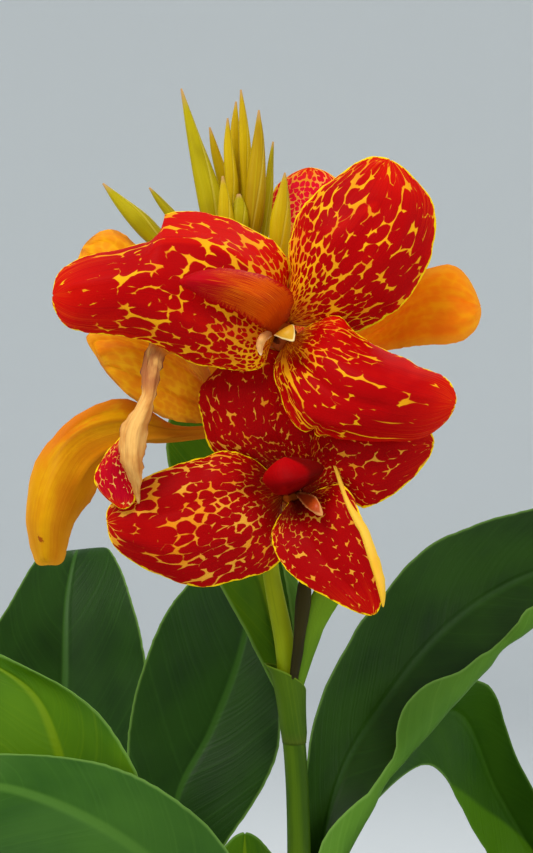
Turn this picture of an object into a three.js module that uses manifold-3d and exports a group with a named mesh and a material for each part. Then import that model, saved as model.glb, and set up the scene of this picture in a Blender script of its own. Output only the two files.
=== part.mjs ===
// A canna lily plant in a plain pot: one flowering shoot with its flower head, three leafy side shoots from the
// same rhizome, and the soil they stand in. Millimetres, +Z up, the pot's underside at z = 0 and its axis on z.
// The best side of the flower head faces -Y.
import * as THREE from "three";
import { ParametricGeometry } from "three/addons/geometries/ParametricGeometry.js";
import { mergeVertices } from "three/addons/utils/BufferGeometryUtils.js";
import Module from "manifold-3d";

const wasm = await Module();
wasm.setup();

// ---- driving dimensions ----

const GAP = 0.3; // between two pieces that touch
const CLEAN = 0.05; // features smaller than this are cleaned away after a cut
const POT_HEIGHT = 215;
const POT_BASE_RADIUS = 88;
const POT_TOP_RADIUS = 122;
const POT_WALL = 6;
const POT_FLOOR = 8;
const POT_SIDES = 32;
const RIM_HEIGHT = 30;
const RIM_STEP = 7;
const DRAIN_RADIUS = 6;
const DRAIN_CIRCLE = 52;
const DRAIN_COUNT = 3;
const SOIL_TOP = 187;
const RHIZOME_Z = 118;
const RHIZOME_LENGTH = 92;
const RHIZOME_RADIUS = 17;

const HEAD_AT = [-10.7, -45, 730]; // the flower head's own origin; its tables and the upper leaves' start there
const PETAL_THICK = 1.0;
const LEAF_THICK = 1.4;
const PETAL_ROWS = 7;
const PETAL_COLUMNS = 5;
const LEAF_ROWS = 10;
const LEAF_COLUMNS = 5;
const STEM_SIDES = 10;
const BUD_SIDES = 8;
const BLADE_END = 0.965; // a blade's last row, just short of the point where its edges meet
const ROLL_START = 0.6; // share of the half width where a rolled margin begins

const COLOURS = {
  petal: 0xb01208,
  petal_back: 0xe08a12,
  style: 0xe8b23a,
  withered: 0xd9a566,
  bud: 0xb7a814,
  stem: 0x6f8a1c,
  leaf: 0x2c5a1e,
  bract: 0x4a2a1a,
  pot: 0xa8593a,
  soil: 0x2e2119,
  rhizome: 0xb89a6a,
};

// ---- shape tables, in the flower head's frame: x to the right, y back, z up ----

// A blade is [left edge, middle, right edge] at each station from its base up, then its tip. Seen with the tip up,
// its upper face is towards the viewer. roll is the angle of its left and right margins, towards the upper face. It
// begins at start, a share of the half width, and its largest radius is tight: the rest of the margin runs on
// straight. columns is how many points there are across it, where that isn't the usual number.
const FLOWER_FRONT = {
  front_staminode_left: {
    stations: [
      [[2, 20, 27], [3, 19, 29], [4, 20, 31]],
      [[-3, 10, 17.5], [-5, 4, 33], [7, 14, 50]],
      [[-16, 8, 18], [-17, -3, 39], [-9, 14, 63.5]],
      [[-29, 6, 22.3], [-29, -5, 41], [-29, 13, 66]],
      [[-41, 4, 27], [-39, -5, 42], [-37.5, 8, 57]],
      [[-60, 3, 30], [-54, -3, 40.5], [-59.5, 5, 49.5]],
    ],
    tip: [-64.7, 3, 39.5],
  },
  front_staminode_upper: {
    stations: [
      [[5, 20, 32], [6.5, 19, 33], [8, 20, 32]],
      [[7, 15, 47], [15, 7, 42], [27, 17, 29]],
      [[8, 14, 62], [24, 1, 53], [42, 11, 38]],
      [[14.5, 12, 71], [31, 1, 62], [50, 8, 51]],
      [[27, 11, 80.8], [36, 4, 71], [50.5, 8, 69]],
    ],
    tip: [38, 9, 81.8],
  },
  front_staminode_right: {
    stations: [
      [[8.5, 20, 28.5], [7.2, 19, 26.8], [4.6, 20, 24.6]],
      [[20, 12, 34], [13.5, 2, 20], [2.4, 10, 14.5]],
      [[32, 6, 25.5], [23.5, -6, 13], [11, 5, -1.4]],
      [[42.5, 2, 19.7], [35, -8, 9], [25, 2, -4]],
      [[53, -1, 15], [46, -6, 7], [48, 1, -3]],
    ],
    tip: [56.5, -2, 6.5],
  },
  front_labellum: {
    stations: [
      [[2.5, 20, 28], [4.5, 19.6, 31], [6.5, 20, 32.5]],
      [[-2, 2, 30.5], [1, -5, 36], [7.6, 3.4, 40.6]],
      [[-12, -5, 35.2], [-9, -11, 40.5], [-4, -5, 45.6]],
      [[-20, -9, 38.6], [-18.5, -13, 42.2], [-16, -9, 46.2]],
    ],
    tip: [-25.6, -10, 42.6],
  },
  front_style: {
    stations: [
      [[4, 20, 28], [5, 19.8, 29], [6, 20, 29]],
      [[2.5, 0, 27.3], [5.5, -2, 29], [8, 0, 30.5]],
    ],
    tip: [8, -5, 25.3],
  },
  front_anther: {
    stations: [
      [[0, 14, 29], [1, 13, 29.5], [1.5, 14, 28]],
      [[-1.9, -1, 27.4], [-1.1, -3, 26.6], [-0.1, -1, 25.6]],
      [[-2.9, -2.8, 24.4], [-2, -4, 24.2], [-1, -2.4, 24.1]],
    ],
    tip: [-1.7, -3, 21.2],
  },
};

const FLOWER_LOWER = {
  lower_staminode_left: {
    stations: [
      [[5, 28, -22.5], [5.5, 27, -21], [6, 28, -19]],
      [[4, 20, -42], [-6, 13, -23], [-7, 18, -8.5]],
      [[-9, 17, -48], [-19, 9, -26], [-20, 17, -9.5]],
      [[-26, 15, -49], [-31, 8, -29], [-32, 15, -13.5]],
      [[-44.5, 13, -39.5], [-42.5, 8.5, -30], [-46.5, 13.5, -22]],
    ],
    tip: [-49.3, 12, -29.5],
  },
  lower_staminode_upper: {
    stations: [
      [[6, 28, -18.5], [8.5, 27, -17.5], [11, 28, -19.5]],
      [[-15, 22, -10], [0, 18, -4], [18.5, 22, -10]],
      [[-20.5, 21, 3], [-2, 16, 6], [20, 22, 4]],
      [[-19, 21, 15], [-2, 17, 17], [18, 22, 16]],
    ],
    tip: [-2, 21, 25],
  },
  lower_staminode_right: {
    stations: [
      [[10.5, 28, -18.6], [11.5, 27, -21], [11, 28, -22.5]],
      [[15.8, 19, 3], [19.5, 14, -9], [23, 17, -20.5]],
      [[32, 16, 6], [32, 10, -8], [31, 14, -25]],
      [[46, 12, 3], [42, 8, -7], [43, 12, -18]],
    ],
    tip: [51.5, 10, -5.5],
  },
  lower_staminode_bottom: {
    stations: [
      [[10.5, 28, -23], [9, 27, -24], [7.5, 28, -23.5]],
      [[23.5, 11, -18], [12.5, 13, -30], [1.5, 17, -34]],
      [[30.5, 5, -32], [18.5, 8, -39], [6.5, 12, -44.5]],
      [[35, 3, -45.5], [25.5, 5, -47.5], [17, 8, -51.5]],
    ],
    tip: [32.2, 4, -57.2],
  },
  lower_stamen: {
    stations: [
      [[7, 28, -22], [8.6, 27.8, -21], [10.4, 28, -20.4]],
      [[2.4, 9, -20.4], [8.6, 2.2, -17.4], [16, 9, -15.6]],
      [[-1, 7.5, -15.4], [6.6, 1, -13.6], [16.6, 8, -11.4]],
    ],
    tip: [5.6, 4.6, -9.4],
  },
  lower_style: {
    stations: [
      [[9.9, 28, -20.6], [9.9, 27.8, -21.2], [9.1, 28, -21.6]],
      [[15, 8, -21.5], [14, 6, -23.5], [12.5, 8, -25]],
    ],
    tip: [17, 4, -27],
  },
};

const FLOWER_FADED = {
  faded_petal_upper: {
    stations: [
      [[-10.5, 40.5, 6], [-11.5, 40.5, 5], [-12.5, 40.5, 4]],
      [[-20, 37, 43], [-27, 34, 36], [-35, 36, 28]],
      [[-41, 35, 58.5], [-45, 32, 49], [-50, 34, 37]],
      [[-51.5, 35, 64], [-54, 33, 55], [-61, 35, 45]],
    ],
    tip: [-60, 36, 58],
  },
  faded_petal_left: {
    stations: [
      [[-11.5, 39.5, 5.5], [-12, 39.5, 4.5], [-12.5, 39.5, 3]],
      [[-27, 29, 25], [-25.5, 26, 12.5], [-24, 29, 1]],
      [[-44.5, 25, 30], [-39.5, 21, 19], [-36, 25, 4.5]],
      [[-57, 25, 29], [-49.5, 23, 21], [-46, 25, 12]],
    ],
    tip: [-52.5, 26, 19.5],
  },
  faded_petal_drooping: {
    stations: [
      [[-13, 41, 1], [-13.5, 41, -1], [-13, 41, -3]],
      [[-30, 38, 0.5], [-30, 38, -2.3], [-30, 38, -5.2]],
      [[-45, 32, 9], [-46, 30, -2], [-45, 32, -6.5]],
      [[-60.5, 26, 3.5], [-57.5, 22, -6.5], [-52, 26, -16]],
      [[-72, 22, -9.5], [-64, 17, -16], [-56, 23, -24]],
      [[-75.5, 20, -28], [-68, 15, -28.5], [-61, 21, -31]],
      [[-73, 20.5, -41.8], [-68.5, 18, -39.5], [-64, 21, -42.3]],
    ],
    tip: [-68.4, 20, -43.5],
  },
  withered_petal: {
    stations: [
      [[-14, 36, 5.5], [-14, 36, 6.5], [-14, 36, 7.5]],
      [[-25, 21, 20], [-24, 20, 23], [-23, 21, 26]],
      [[-31, 13, 22], [-33, 11, 25], [-35, 13, 27]],
      [[-32.8, 9.5, 15.4], [-35.6, 6, 15.8], [-38.6, 9.5, 16.3]],
      [[-34.2, 7.5, 8.1], [-36.4, 4, 8.6], [-38.2, 7.5, 9.3]],
      [[-36, 5, -1.1], [-40.4, 0.5, -1.1], [-44.4, 5, -1.1]],
      [[-37.2, 4, -10.5], [-40.8, -0.5, -10.5], [-44, 4, -10.5]],
      [[-38.2, 5, -17.5], [-39.4, 3, -17.5], [-41, 5, -17.5]],
    ],
    tip: [-38.9, 6, -23.5],
  },
  withered_petal_flap: {
    stations: [
      [[-42.5, 8, -4], [-43.5, 7, -3.5], [-44.5, 8, -3]],
      [[-42, 8, -14], [-46.5, 6, -13], [-51, 8, -11]],
      [[-40, 7, -22], [-46, 6, -20.5], [-52, 7, -18]],
    ],
    tip: [-44.5, 7, -25],
  },
};

const FLOWER_BACK = {
  back_petal_right: {
    stations: [
      [[14, 42, 19], [14, 42, 21], [14, 42, 23]],
      [[36, 35, 24], [34, 36, 29], [32, 35, 34]],
      [[48.5, 31, 26], [48.5, 29, 38], [45.5, 31, 47.5]],
      [[64, 30, 28], [60, 27, 39], [60.5, 30, 51.5]],
    ],
    tip: [69, 31, 38.5],
  },
  back_staminode_upper: {
    stations: [
      [[10, 45, 20], [12, 45, 21], [14, 45, 20]],
      [[2, 53, 52], [13, 50, 54], [24, 53, 53]],
      [[0.8, 55, 70], [14, 52, 72], [27.5, 55, 70]],
      [[4, 56, 82.5], [14.5, 54, 83.5], [25.5, 56, 82]],
    ],
    tip: [15, 56, 88],
  },
};

// Round pieces: the line along the middle, with the radius at each of its points.
const RACHIS = [
  [7.5, 45, -92, 3.4], [5.8, 45, -72, 3.3], [1, 45, -45, 2.8], [1, 46, -20, 2.6],
  [-1, 45, 10, 2.4], [-5, 44, 35, 2.1], [-8, 43.5, 58, 1.7], [-8.3, 43, 62, 1.2],
];
const FLOWER_TUBES = {
  front_flower_tube: [[-1, 45, 13, 2.6], [1, 40, 18, 3.4], [3.5, 31, 24, 2.8], [5, 21, 28, 4.4], [5.2, 19.5, 28.4, 4.6]],
  lower_flower_tube: [[1, 46, -34, 2.6], [4, 41, -29, 3.4], [7, 34, -24, 2.8], [8, 28.5, -21.2, 4.2], [8.2, 27.5, -21, 4.4]],
  faded_flower_tube: [[0.5, 46, -8, 2.2], [-4, 44, -3, 3.2], [-9, 42, 2, 2.6], [-12, 40.5, 4, 3.8]],
  back_flower_tube: [[-0.5, 45, 3, 2.2], [4, 47, 9, 3.2], [9, 46, 16, 2.6], [12.5, 44.5, 22, 3.8]],
};
const BUDS = {
  bud_left_tall: [[-6.5, 44, 48, 1.1], [-13.5, 41, 58, 2.6], [-17, 40, 68, 4.2], [-20, 40, 80, 3.7], [-24, 40, 95, 2.1], [-28, 40, 111, 0.3]],
  bud_left_back: [[-7.5, 44, 54, 1.0], [-10.5, 48, 60, 1.4], [-12, 48, 70, 1.8], [-14.5, 48, 82, 2.0], [-17.2, 48, 92, 1.4], [-19, 48, 100, 0.3]],
  bud_middle: [[-8.2, 43.5, 60, 0.9], [-11, 41.5, 68, 1.9], [-11.5, 41, 80, 2.2], [-12.6, 41, 92, 1.5], [-12.8, 41, 101.5, 0.3]],
  bud_middle_back: [[-8.2, 43.5, 59, 0.9], [-9.6, 47, 68, 1.6], [-10, 47.5, 86, 2.1], [-10.5, 47.5, 99, 1.5], [-10.2, 47.5, 108.5, 0.3]],
  bud_top: [[-8.3, 43.2, 62.6, 1.1], [-6.8, 43.5, 74, 1.7], [-7, 43.5, 89, 2.0], [-7.7, 43.5, 101, 1.4], [-8.5, 43.5, 111.5, 0.3]],
  bud_right_tall: [[-7.4, 43.6, 52, 1.1], [-5.2, 39.5, 59, 1.9], [-4.4, 38, 69, 3.2], [-3.6, 38, 80, 3.2], [-2.7, 38, 93, 1.9], [-2.5, 38, 103.5, 0.3]],
  bud_right_thin: [[-6.9, 44, 49, 0.9], [-1.5, 46.5, 60, 1.3], [0.5, 47, 76, 1.5], [1.3, 47, 87, 1.0], [2.2, 47, 95, 0.3]],
  bud_right_short: [[-5.2, 44, 37, 1.1], [0.5, 39, 46, 1.8], [3.6, 35.5, 57, 3.2], [4.4, 35, 67, 3.3], [5.4, 35, 76, 1.7], [6, 35, 82.5, 0.3]],
  bud_front_short: [[-7.2, 43.6, 46, 0.9], [-11.5, 35.5, 56, 1.9], [-13, 33.5, 65, 2.7], [-13.6, 33, 73, 1.9], [-14.2, 33, 81, 0.3]],
  bud_round: [[-7.8, 43.5, 56, 0.9], [-9, 38, 60, 1.8], [-8.6, 35, 66, 2.6], [-8.8, 35, 71, 2.2], [-9, 35, 75.5, 0.6]],
  bud_low_left: [[-5.6, 44, 38, 1.1], [-14, 43, 45, 1.3], [-26, 41, 53, 1.9], [-36, 39, 61.5, 3.1], [-41.5, 38, 67, 3.2], [-48, 38, 73.5, 1.9], [-53.5, 38, 79.5, 0.3]],
  bud_low_back: [[-6.2, 44, 42, 1.0], [-18, 45.5, 55.5, 1.3], [-26.5, 46, 64, 1.9], [-31, 46, 69.5, 1.8], [-35.5, 46, 75, 1.2], [-39, 46, 79.5, 0.3]],
};

const LEAVES = {
  leaf_top: {
    stations: [
      [[6, 45.5, -94], [7.5, 46.5, -94.5], [9.5, 46.5, -94]],
      [[-11, 54, -62], [0, 60, -59], [16, 56, -56.5]],
      [[-27.5, 61, -34.5], [-9, 68, -32], [14, 62, -30]],
      [[-35, 69, -7], [-16, 76, -5], [5, 69, -5]],
      [[-31, 75, 14], [-21, 81, 14], [-9, 75, 14]],
    ],
    tip: [-24, 80, 29],
  },
  leaf_right: {
    stations: [
      [[12, 48, -162], [14.5, 47.5, -163], [15, 44, -164]],
      [[13, 57, -114], [25, 66, -123], [43.5, 54, -138.5]],
      [[28.5, 78, -78.5], [45, 90, -97.5], [71.5, 71.5, -119]],
      [[54.5, 100, -49.5], [70.5, 112, -75], [96.5, 90, -101.5]],
      [[89, 116, -34.5], [102, 126, -58.5], [120, 105.5, -80]],
      [[127, 126, -32.5], [137.5, 134, -52], [145.5, 120.5, -68]],
    ],
    tip: [165, 132, -63],
    roll: [0, 2.85],
    tight: 4.5,
    start: 0.45,
    columns: 13,
  },
  leaf_right_back: {
    stations: [
      [[12, 49, -184], [14, 49.5, -185], [16, 47, -186]],
      [[25, 95, -124.5], [29, 98, -136], [31.5, 93, -150]],
      [[81.5, 126, -99], [71.5, 130, -111.5], [62.5, 120, -130.5]],
      [[102, 146, -136], [94.5, 154, -150], [85, 142, -166]],
      [[130, 154, -188], [120, 162, -194.5], [110, 152, -202]],
    ],
    tip: [138, 158, -231],
  },
  leaf_middle: {
    stations: [
      [[-38, 100, -176], [-36, 101, -177], [-34, 100, -178]],
      [[-50, 102, -140], [-34, 108, -141], [-14, 102, -154]],
      [[-52, 106, -116], [-21.5, 116, -117], [3.5, 106, -125]],
      [[-46, 112, -89], [-11.5, 122, -93], [5, 112, -102]],
      [[-34, 120, -65], [-6.5, 128, -70], [4, 120, -78]],
    ],
    tip: [-8, 132, -47],
  },
  leaf_left_back: {
    stations: [
      [[-78, 150, -206], [-76, 151, -207], [-74, 150, -208]],
      [[-115, 150, -144], [-83.5, 162, -144], [-57.5, 150, -144]],
      [[-122, 158, -105], [-85, 172, -104], [-50, 158, -100]],
      [[-108, 172, -74], [-86, 184, -74], [-58, 172, -71]],
      [[-97, 192, -56], [-83.5, 200, -55], [-70, 192, -53]],
    ],
    tip: [-84, 226, -70],
  },
  leaf_left: {
    stations: [
      [[-43, 25, -164], [-41, 26, -165], [-39, 25, -164]],
      [[-90, 14, -130], [-61, 24, -126], [-38, 16, -117]],
      [[-109, 12, -105], [-66, 24, -102], [-49.5, 16, -93.5]],
      [[-111, 18, -86], [-76, 28, -84], [-68, 22, -79.5]],
    ],
    tip: [-99, 32, -71],
  },
  leaf_front_left: {
    stations: [
      [[7, 42.3, -184], [6.5, 43.2, -182], [7, 44, -180]],
      [[-44, 10, -168], [-25, 24, -147], [-14, 26, -133]],
      [[-69, -4, -143], [-50, 10, -123], [-39, 14, -109]],
      [[-88, -12, -124], [-78, 2, -109], [-67, 8, -100.5]],
      [[-108, -14, -116], [-104, -2, -108], [-99, 4, -101.5]],
    ],
    tip: [-124, -2, -111],
  },
  leaf_side_back: {
    stations: [
      [[-26, 87.5, -352], [-22.3, 86.6, -353], [-18.6, 88, -352]],
      [[-38, 85, -296], [-17, 80, -302], [4, 84, -296]],
      [[-42, 84, -240], [-12, 77, -245], [16, 83, -240]],
      [[-35, 86, -192], [-9, 80, -196], [15, 85, -192]],
      [[-21, 86, -160.5], [-8, 82, -162], [5.5, 86, -160.5]],
    ],
    tip: [-7.8, 85, -146.3],
  },
};

const BRACTS = {
  bract_right: {
    stations: [
      [[9.5, 42, -88], [11, 43, -88], [11.5, 46, -88]],
      [[12, 41, -68], [15.5, 42, -68], [19, 44, -67]],
      [[15, 40, -55], [20, 40, -55], [25, 42, -56]],
    ],
    tip: [27, 40, -42],
  },
  bract_dark: {
    stations: [
      [[7, 40.5, -88], [8.5, 41, -88], [9.5, 42, -88]],
      [[9, 39, -68], [11, 38.3, -68], [12.9, 39.6, -68]],
      [[9.8, 38, -55], [12.2, 37, -55], [14.6, 38, -55]],
    ],
    tip: [13, 37, -40],
  },
};

// Shoots, in the plant's own frame: [x, y, z, radius].
const SHOOTS = {
  flowering_stem: [
    [0, 0, 132, 12], [0, 0, 200, 12], [0, 0, 330, 9.5], [0.4, 0, 460, 6.6], [0.2, 0, 560, 4.3],
    [-0.4, 0, 608, 3.8], [-3.2, 0, 645, 3.9],
  ],
  side_shoot_front: [[-34, -22, 128, 9.5], [-36, -23, 200, 9.5], [-42, -24, 350, 7.2], [-50, -21, 500, 5], [-51.7, -20, 571, 3.4]],
  side_shoot_middle: [[-18, 34, 128, 9.5], [-20, 38, 200, 9.5], [-32, 46, 350, 7.2], [-44, 54, 500, 5], [-46.7, 56, 559, 3.4]],
  side_shoot_back: [[38, 30, 128, 9.5], [42, 34, 200, 9.5], [50, 48, 330, 7.2], [58, 60, 450, 5], [60, 64, 490, 3.2]],
  side_shoot_left: [[-52, 16, 126, 9.5], [-58, 26, 200, 9.5], [-72, 62, 350, 7.2], [-84, 96, 480, 5], [-87, 106, 531, 3.4]],
};

// Leaves that arch out evenly: [start x, y, z, heading in degrees, length, width, how steeply they rise].
const ARCHING_LEAVES = {
  leaf_low_right: [4, -2, 330, -25, 310, 116, 0.9],
  leaf_low_front: [-40, -28, 285, -108, 270, 104, 0.8],
  leaf_low_left: [-74, 58, 335, 172, 290, 112, 0.95],
  leaf_low_back: [54, 55, 365, 55, 280, 108, 0.85],
  leaf_back_top: [60, 64, 482, 12, 230, 80, 0.62],
  leaf_low_front_right: [1.5, -4, 255, -62, 250, 96, 0.75],
};

// ---- shapes ----

const vector = (p) => new THREE.Vector3(p[0], p[1], p[2]);
const rail = (points) => new THREE.CatmullRomCurve3(points.map(vector), false, "catmullrom", 0.5);

// The smooth lines that carry a blade: its edge, from base to tip and back, and its middle.
function railsOf(blade) {
  const column = (i) => blade.stations.map((row) => row[i]);
  return {
    edge: rail([...column(0), blade.tip, ...column(2).reverse()]),
    middle: rail([...column(1), blade.tip]),
    crease: blade.crease ?? 0,
    roll: blade.roll ?? [0, 0],
    tight: blade.tight ?? Infinity,
    start: blade.start ?? ROLL_START,
  };
}

// A point on a blade's middle surface: u from base to tip, s from -1 at its left edge to 1 at its right edge.
function flatPoint(rails, u, s) {
  const side = rails.edge.getPoint(s < 0 ? u / 2 : 1 - u / 2);
  const other = rails.edge.getPoint(s < 0 ? 1 - u / 2 : u / 2);
  const middle = rails.middle.getPoint(u);
  const t = Math.abs(s);
  const creased = middle.clone().lerp(side, t);
  const round = side.multiplyScalar((t * (t + 1)) / 2)
    .addScaledVector(other, (t * (t - 1)) / 2)
    .addScaledVector(middle, 1 - t * t);
  return round.lerp(creased, rails.crease);
}

// The same point once the margins are rolled over.
function bladePoint(rails, u, s) {
  const angle = rails.roll[s < 0 ? 0 : 1];
  if (Math.abs(s) <= rails.start || angle === 0) return flatPoint(rails, u, s);
  const side = Math.sign(s);
  const start = flatPoint(rails, u, side * rails.start);
  const outward = flatPoint(rails, u, side).sub(start);
  const width = outward.length();
  outward.normalize();
  const along = rails.middle.getTangent(u);
  const up = new THREE.Vector3().crossVectors(outward, along).multiplyScalar(side).normalize();
  const reach = (width * (Math.abs(s) - rails.start)) / (1 - rails.start);
  const radius = Math.min(width / angle, rails.tight);
  const turned = Math.min(reach / radius, angle);
  const straight = Math.max(reach - radius * angle, 0);
  start.addScaledVector(outward, radius * Math.sin(turned) + straight * Math.cos(angle));
  return start.addScaledVector(up, radius * (1 - Math.cos(turned)) + straight * Math.sin(angle));
}

// A closed body swept through rows of points: row(t) gives the loop of points at t, and both ends are closed.
function loftGeometry(rows, loop, row) {
  const rings = [];
  for (let i = 0; i <= rows; i++) rings.push(row(i / rows));
  const centre = (ring) => ring.reduce((sum, p) => sum.add(p), new THREE.Vector3()).divideScalar(ring.length);
  const capped = [rings[0].map(() => centre(rings[0])), ...rings, rings[rows].map(() => centre(rings[rows]))];
  const place = (across, up, target) => {
    const ring = capped[Math.round(up * (rows + 2))];
    target.copy(ring[(loop - Math.round(across * loop)) % loop]);
  };
  return new ParametricGeometry(place, loop, rows + 2);
}

// Which end t is at: -1 at the first, 1 at the last, 0 between them.
const endOf = (t) => (t === 0 ? -1 : Math.floor(t));

// A thin blade, as thick as told, and larger all round by as much as it should grow.
function bladeGeometry(blade, thick, rows, columns, grow = 0) {
  const rails = railsOf(blade);
  const step = 0.01;
  const row = (t) => {
    const u = BLADE_END * (1 - (1 - t) ** 1.35);
    const reach = 1 + grow / bladePoint(rails, u, 1).distanceTo(bladePoint(rails, u, 0));
    const face = (side) =>
      Array.from({ length: columns }, (_, i) => {
        const s = reach * ((2 * i) / (columns - 1) - 1);
        const along = bladePoint(rails, Math.min(u + step, 1), s).sub(bladePoint(rails, Math.max(u - step, 0), s));
        const across = bladePoint(rails, u, s + step).sub(bladePoint(rails, u, s - step));
        const normal = across.cross(along).normalize();
        const p = bladePoint(rails, u, s).addScaledVector(normal, side * (thick / 2 + grow));
        return p.addScaledVector(rails.middle.getTangent(u), grow * endOf(t));
      });
    return [...face(-1), ...face(1).reverse()];
  };
  return loftGeometry(rows, 2 * columns, row);
}

// A round piece along a smooth line, with its own radius at each point of that line.
function roundGeometry(points, rows, sides, grow = 0) {
  const line = rail(points);
  const last = points.length - 1;
  const row = (t) => {
    const i = Math.min(Math.floor(t * last), last - 1);
    const radius = THREE.MathUtils.lerp(points[i][3], points[i + 1][3], t * last - i) + grow;
    const along = line.getTangent(t);
    const middle = line.getPoint(t).addScaledVector(along, grow * endOf(t));
    const right = new THREE.Vector3(0, 1, 0).cross(along).normalize();
    const front = new THREE.Vector3().crossVectors(along, right);
    return Array.from({ length: sides }, (_, k) => {
      const angle = (-2 * Math.PI * k) / sides;
      return middle.clone().addScaledVector(right, radius * Math.cos(angle)).addScaledVector(front, radius * Math.sin(angle));
    });
  };
  return loftGeometry(rows, sides, row);
}

// An arching leaf, as a blade: it rises from its shoot, turns over and hangs a little at the tip.
function archingLeaf([x, y, z, heading, length, width, steep]) {
  const angle = THREE.MathUtils.degToRad(heading);
  const out = new THREE.Vector3(Math.cos(angle), Math.sin(angle), 0);
  const right = new THREE.Vector3(Math.sin(angle), -Math.cos(angle), 0);
  const place = (t, s) => {
    const half = (width / 2) * Math.sin(Math.PI * Math.min(t + 0.04, 1) ** 0.8) ** 0.8;
    const rise = steep * length * (1.15 * t - 0.72 * t * t);
    const p = new THREE.Vector3(x, y, z).addScaledVector(out, length * (0.3 * t + 0.42 * t * t));
    p.z += rise + Math.abs(s) * 0.18 * half;
    return p.addScaledVector(right, s * half).toArray();
  };
  const stations = [0, 0.18, 0.4, 0.62, 0.84].map((t) => [place(t, -1), place(t, 0), place(t, 1)]);
  return { stations, tip: place(1, 0) };
}

// ---- joins and cuts ----

function solidOf(geometry) {
  const bare = geometry.clone();
  bare.deleteAttribute("normal");
  bare.deleteAttribute("uv");
  const merged = mergeVertices(bare, 1e-3);
  const solid = new wasm.Manifold(new wasm.Mesh({
    numProp: 3,
    vertProperties: merged.attributes.position.array,
    triVerts: new Uint32Array(merged.index.array),
  }));
  return solid;
}

function geometryOf(solid) {
  const mesh = solid.getMesh();
  const geometry = new THREE.BufferGeometry();
  geometry.setAttribute("position", new THREE.BufferAttribute(mesh.vertProperties, 3));
  geometry.setIndex(new THREE.BufferAttribute(mesh.triVerts, 1));
  return geometry;
}

// A piece with the room of its carriers cut out of it, so that it sits on them. Only its largest part is kept.
function seat(geometry, carriers) {
  let solid = solidOf(geometry);
  for (const carrier of carriers) solid = solid.subtract(solidOf(carrier));
  const parts = solid.simplify(CLEAN).decompose().sort((a, b) => b.volume() - a.volume());
  return geometryOf(parts[0]);
}

// ---- the plant ----

const plant = new THREE.Group();
const head = new THREE.Group();
head.position.set(...HEAD_AT);
plant.add(head);

function add(group, name, geometry, colour, roughness = 0.55) {
  const mesh = new THREE.Mesh(geometry, new THREE.MeshStandardMaterial({ color: COLOURS[colour], roughness, metalness: 0 }));
  mesh.name = name;
  group.add(mesh);
}

const intoHead = (geometry) => geometry.clone().translate(-HEAD_AT[0], -HEAD_AT[1], -HEAD_AT[2]);
const intoPlant = (geometry) => geometry.clone().translate(...HEAD_AT);
const petalShape = (blade, grow = 0) => bladeGeometry(blade, PETAL_THICK, PETAL_ROWS, PETAL_COLUMNS, grow);
const leafShape = (blade, grow = 0) =>
  bladeGeometry({ crease: 0.7, ...blade }, LEAF_THICK, LEAF_ROWS, blade.columns ?? LEAF_COLUMNS, grow);
const tubeShape = (points, grow = 0) => roundGeometry(points, 6, BUD_SIDES, grow);
const budShape = (points, grow = 0) => roundGeometry(points, 7, BUD_SIDES, grow);
const rachisShape = (grow = 0) => roundGeometry(RACHIS, 18, BUD_SIDES, grow);
const shootShape = (name, grow = 0) => roundGeometry(SHOOTS[name], 10, STEM_SIDES, grow);

// Adds pieces one after another: each has the rooms so far cut out of it, and leaves its own room for the next.
function addInTurn(group, tables, shape, rooms, colourOf) {
  for (const [name, table] of Object.entries(tables)) {
    add(group, name, seat(shape(table), rooms), colourOf(name));
    rooms.push(shape(table, GAP));
  }
}

function addFlowerHead() {
  const stemRoom = intoHead(shootShape("flowering_stem", GAP));
  const rooms = [rachisShape(GAP), stemRoom];
  add(head, "rachis", seat(rachisShape(), [stemRoom]), "stem");
  addInTurn(head, FLOWER_TUBES, tubeShape, rooms, () => "stem");
  addInTurn(head, BUDS, budShape, rooms, () => "bud");
  addInTurn(head, FLOWER_FRONT, petalShape, rooms, (name) => (name.includes("style") ? "style" : "petal"));
  addInTurn(head, FLOWER_LOWER, petalShape, rooms, (name) => (name.includes("style") ? "style" : "petal"));
  addInTurn(head, FLOWER_FADED, petalShape, rooms, (name) => (name.includes("withered") ? "withered" : "petal_back"));
  addInTurn(head, FLOWER_BACK, petalShape, rooms, () => "petal_back");
  addInTurn(head, BRACTS, petalShape, rooms, () => "bract");
}

function addShootsAndLeaves() {
  const rooms = Object.keys(SHOOTS).map((name) => shootShape(name, GAP));
  for (const name of Object.keys(SHOOTS)) add(plant, name, shootShape(name), "stem");
  const inPlant = (blade, grow) => intoPlant(leafShape(blade, grow));
  addInTurn(plant, LEAVES, inPlant, rooms, () => "leaf");
  const arching = (numbers, grow) => leafShape(archingLeaf(numbers), grow);
  addInTurn(plant, ARCHING_LEAVES, arching, rooms, () => "leaf");
}

// ---- the pot, the soil and the rhizome in it ----

const outerAt = (z) => THREE.MathUtils.lerp(POT_BASE_RADIUS, POT_TOP_RADIUS, z / POT_HEIGHT);

const POT_PROFILE = [
  [0, 0], [outerAt(0), 0], [outerAt(POT_HEIGHT - RIM_HEIGHT), POT_HEIGHT - RIM_HEIGHT],
  [outerAt(POT_HEIGHT - RIM_HEIGHT) + RIM_STEP, POT_HEIGHT - RIM_HEIGHT + 2],
  [POT_TOP_RADIUS + RIM_STEP, POT_HEIGHT - 3], [POT_TOP_RADIUS + RIM_STEP - 3, POT_HEIGHT],
  [POT_TOP_RADIUS - POT_WALL + 2, POT_HEIGHT], [POT_TOP_RADIUS - POT_WALL, POT_HEIGHT - 2],
  [outerAt(POT_FLOOR) - POT_WALL, POT_FLOOR], [0, POT_FLOOR],
];

const innerAt = (z) => THREE.MathUtils.mapLinear(
  z, POT_FLOOR, POT_HEIGHT - 2, outerAt(POT_FLOOR) - POT_WALL, POT_TOP_RADIUS - POT_WALL,
);

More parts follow.
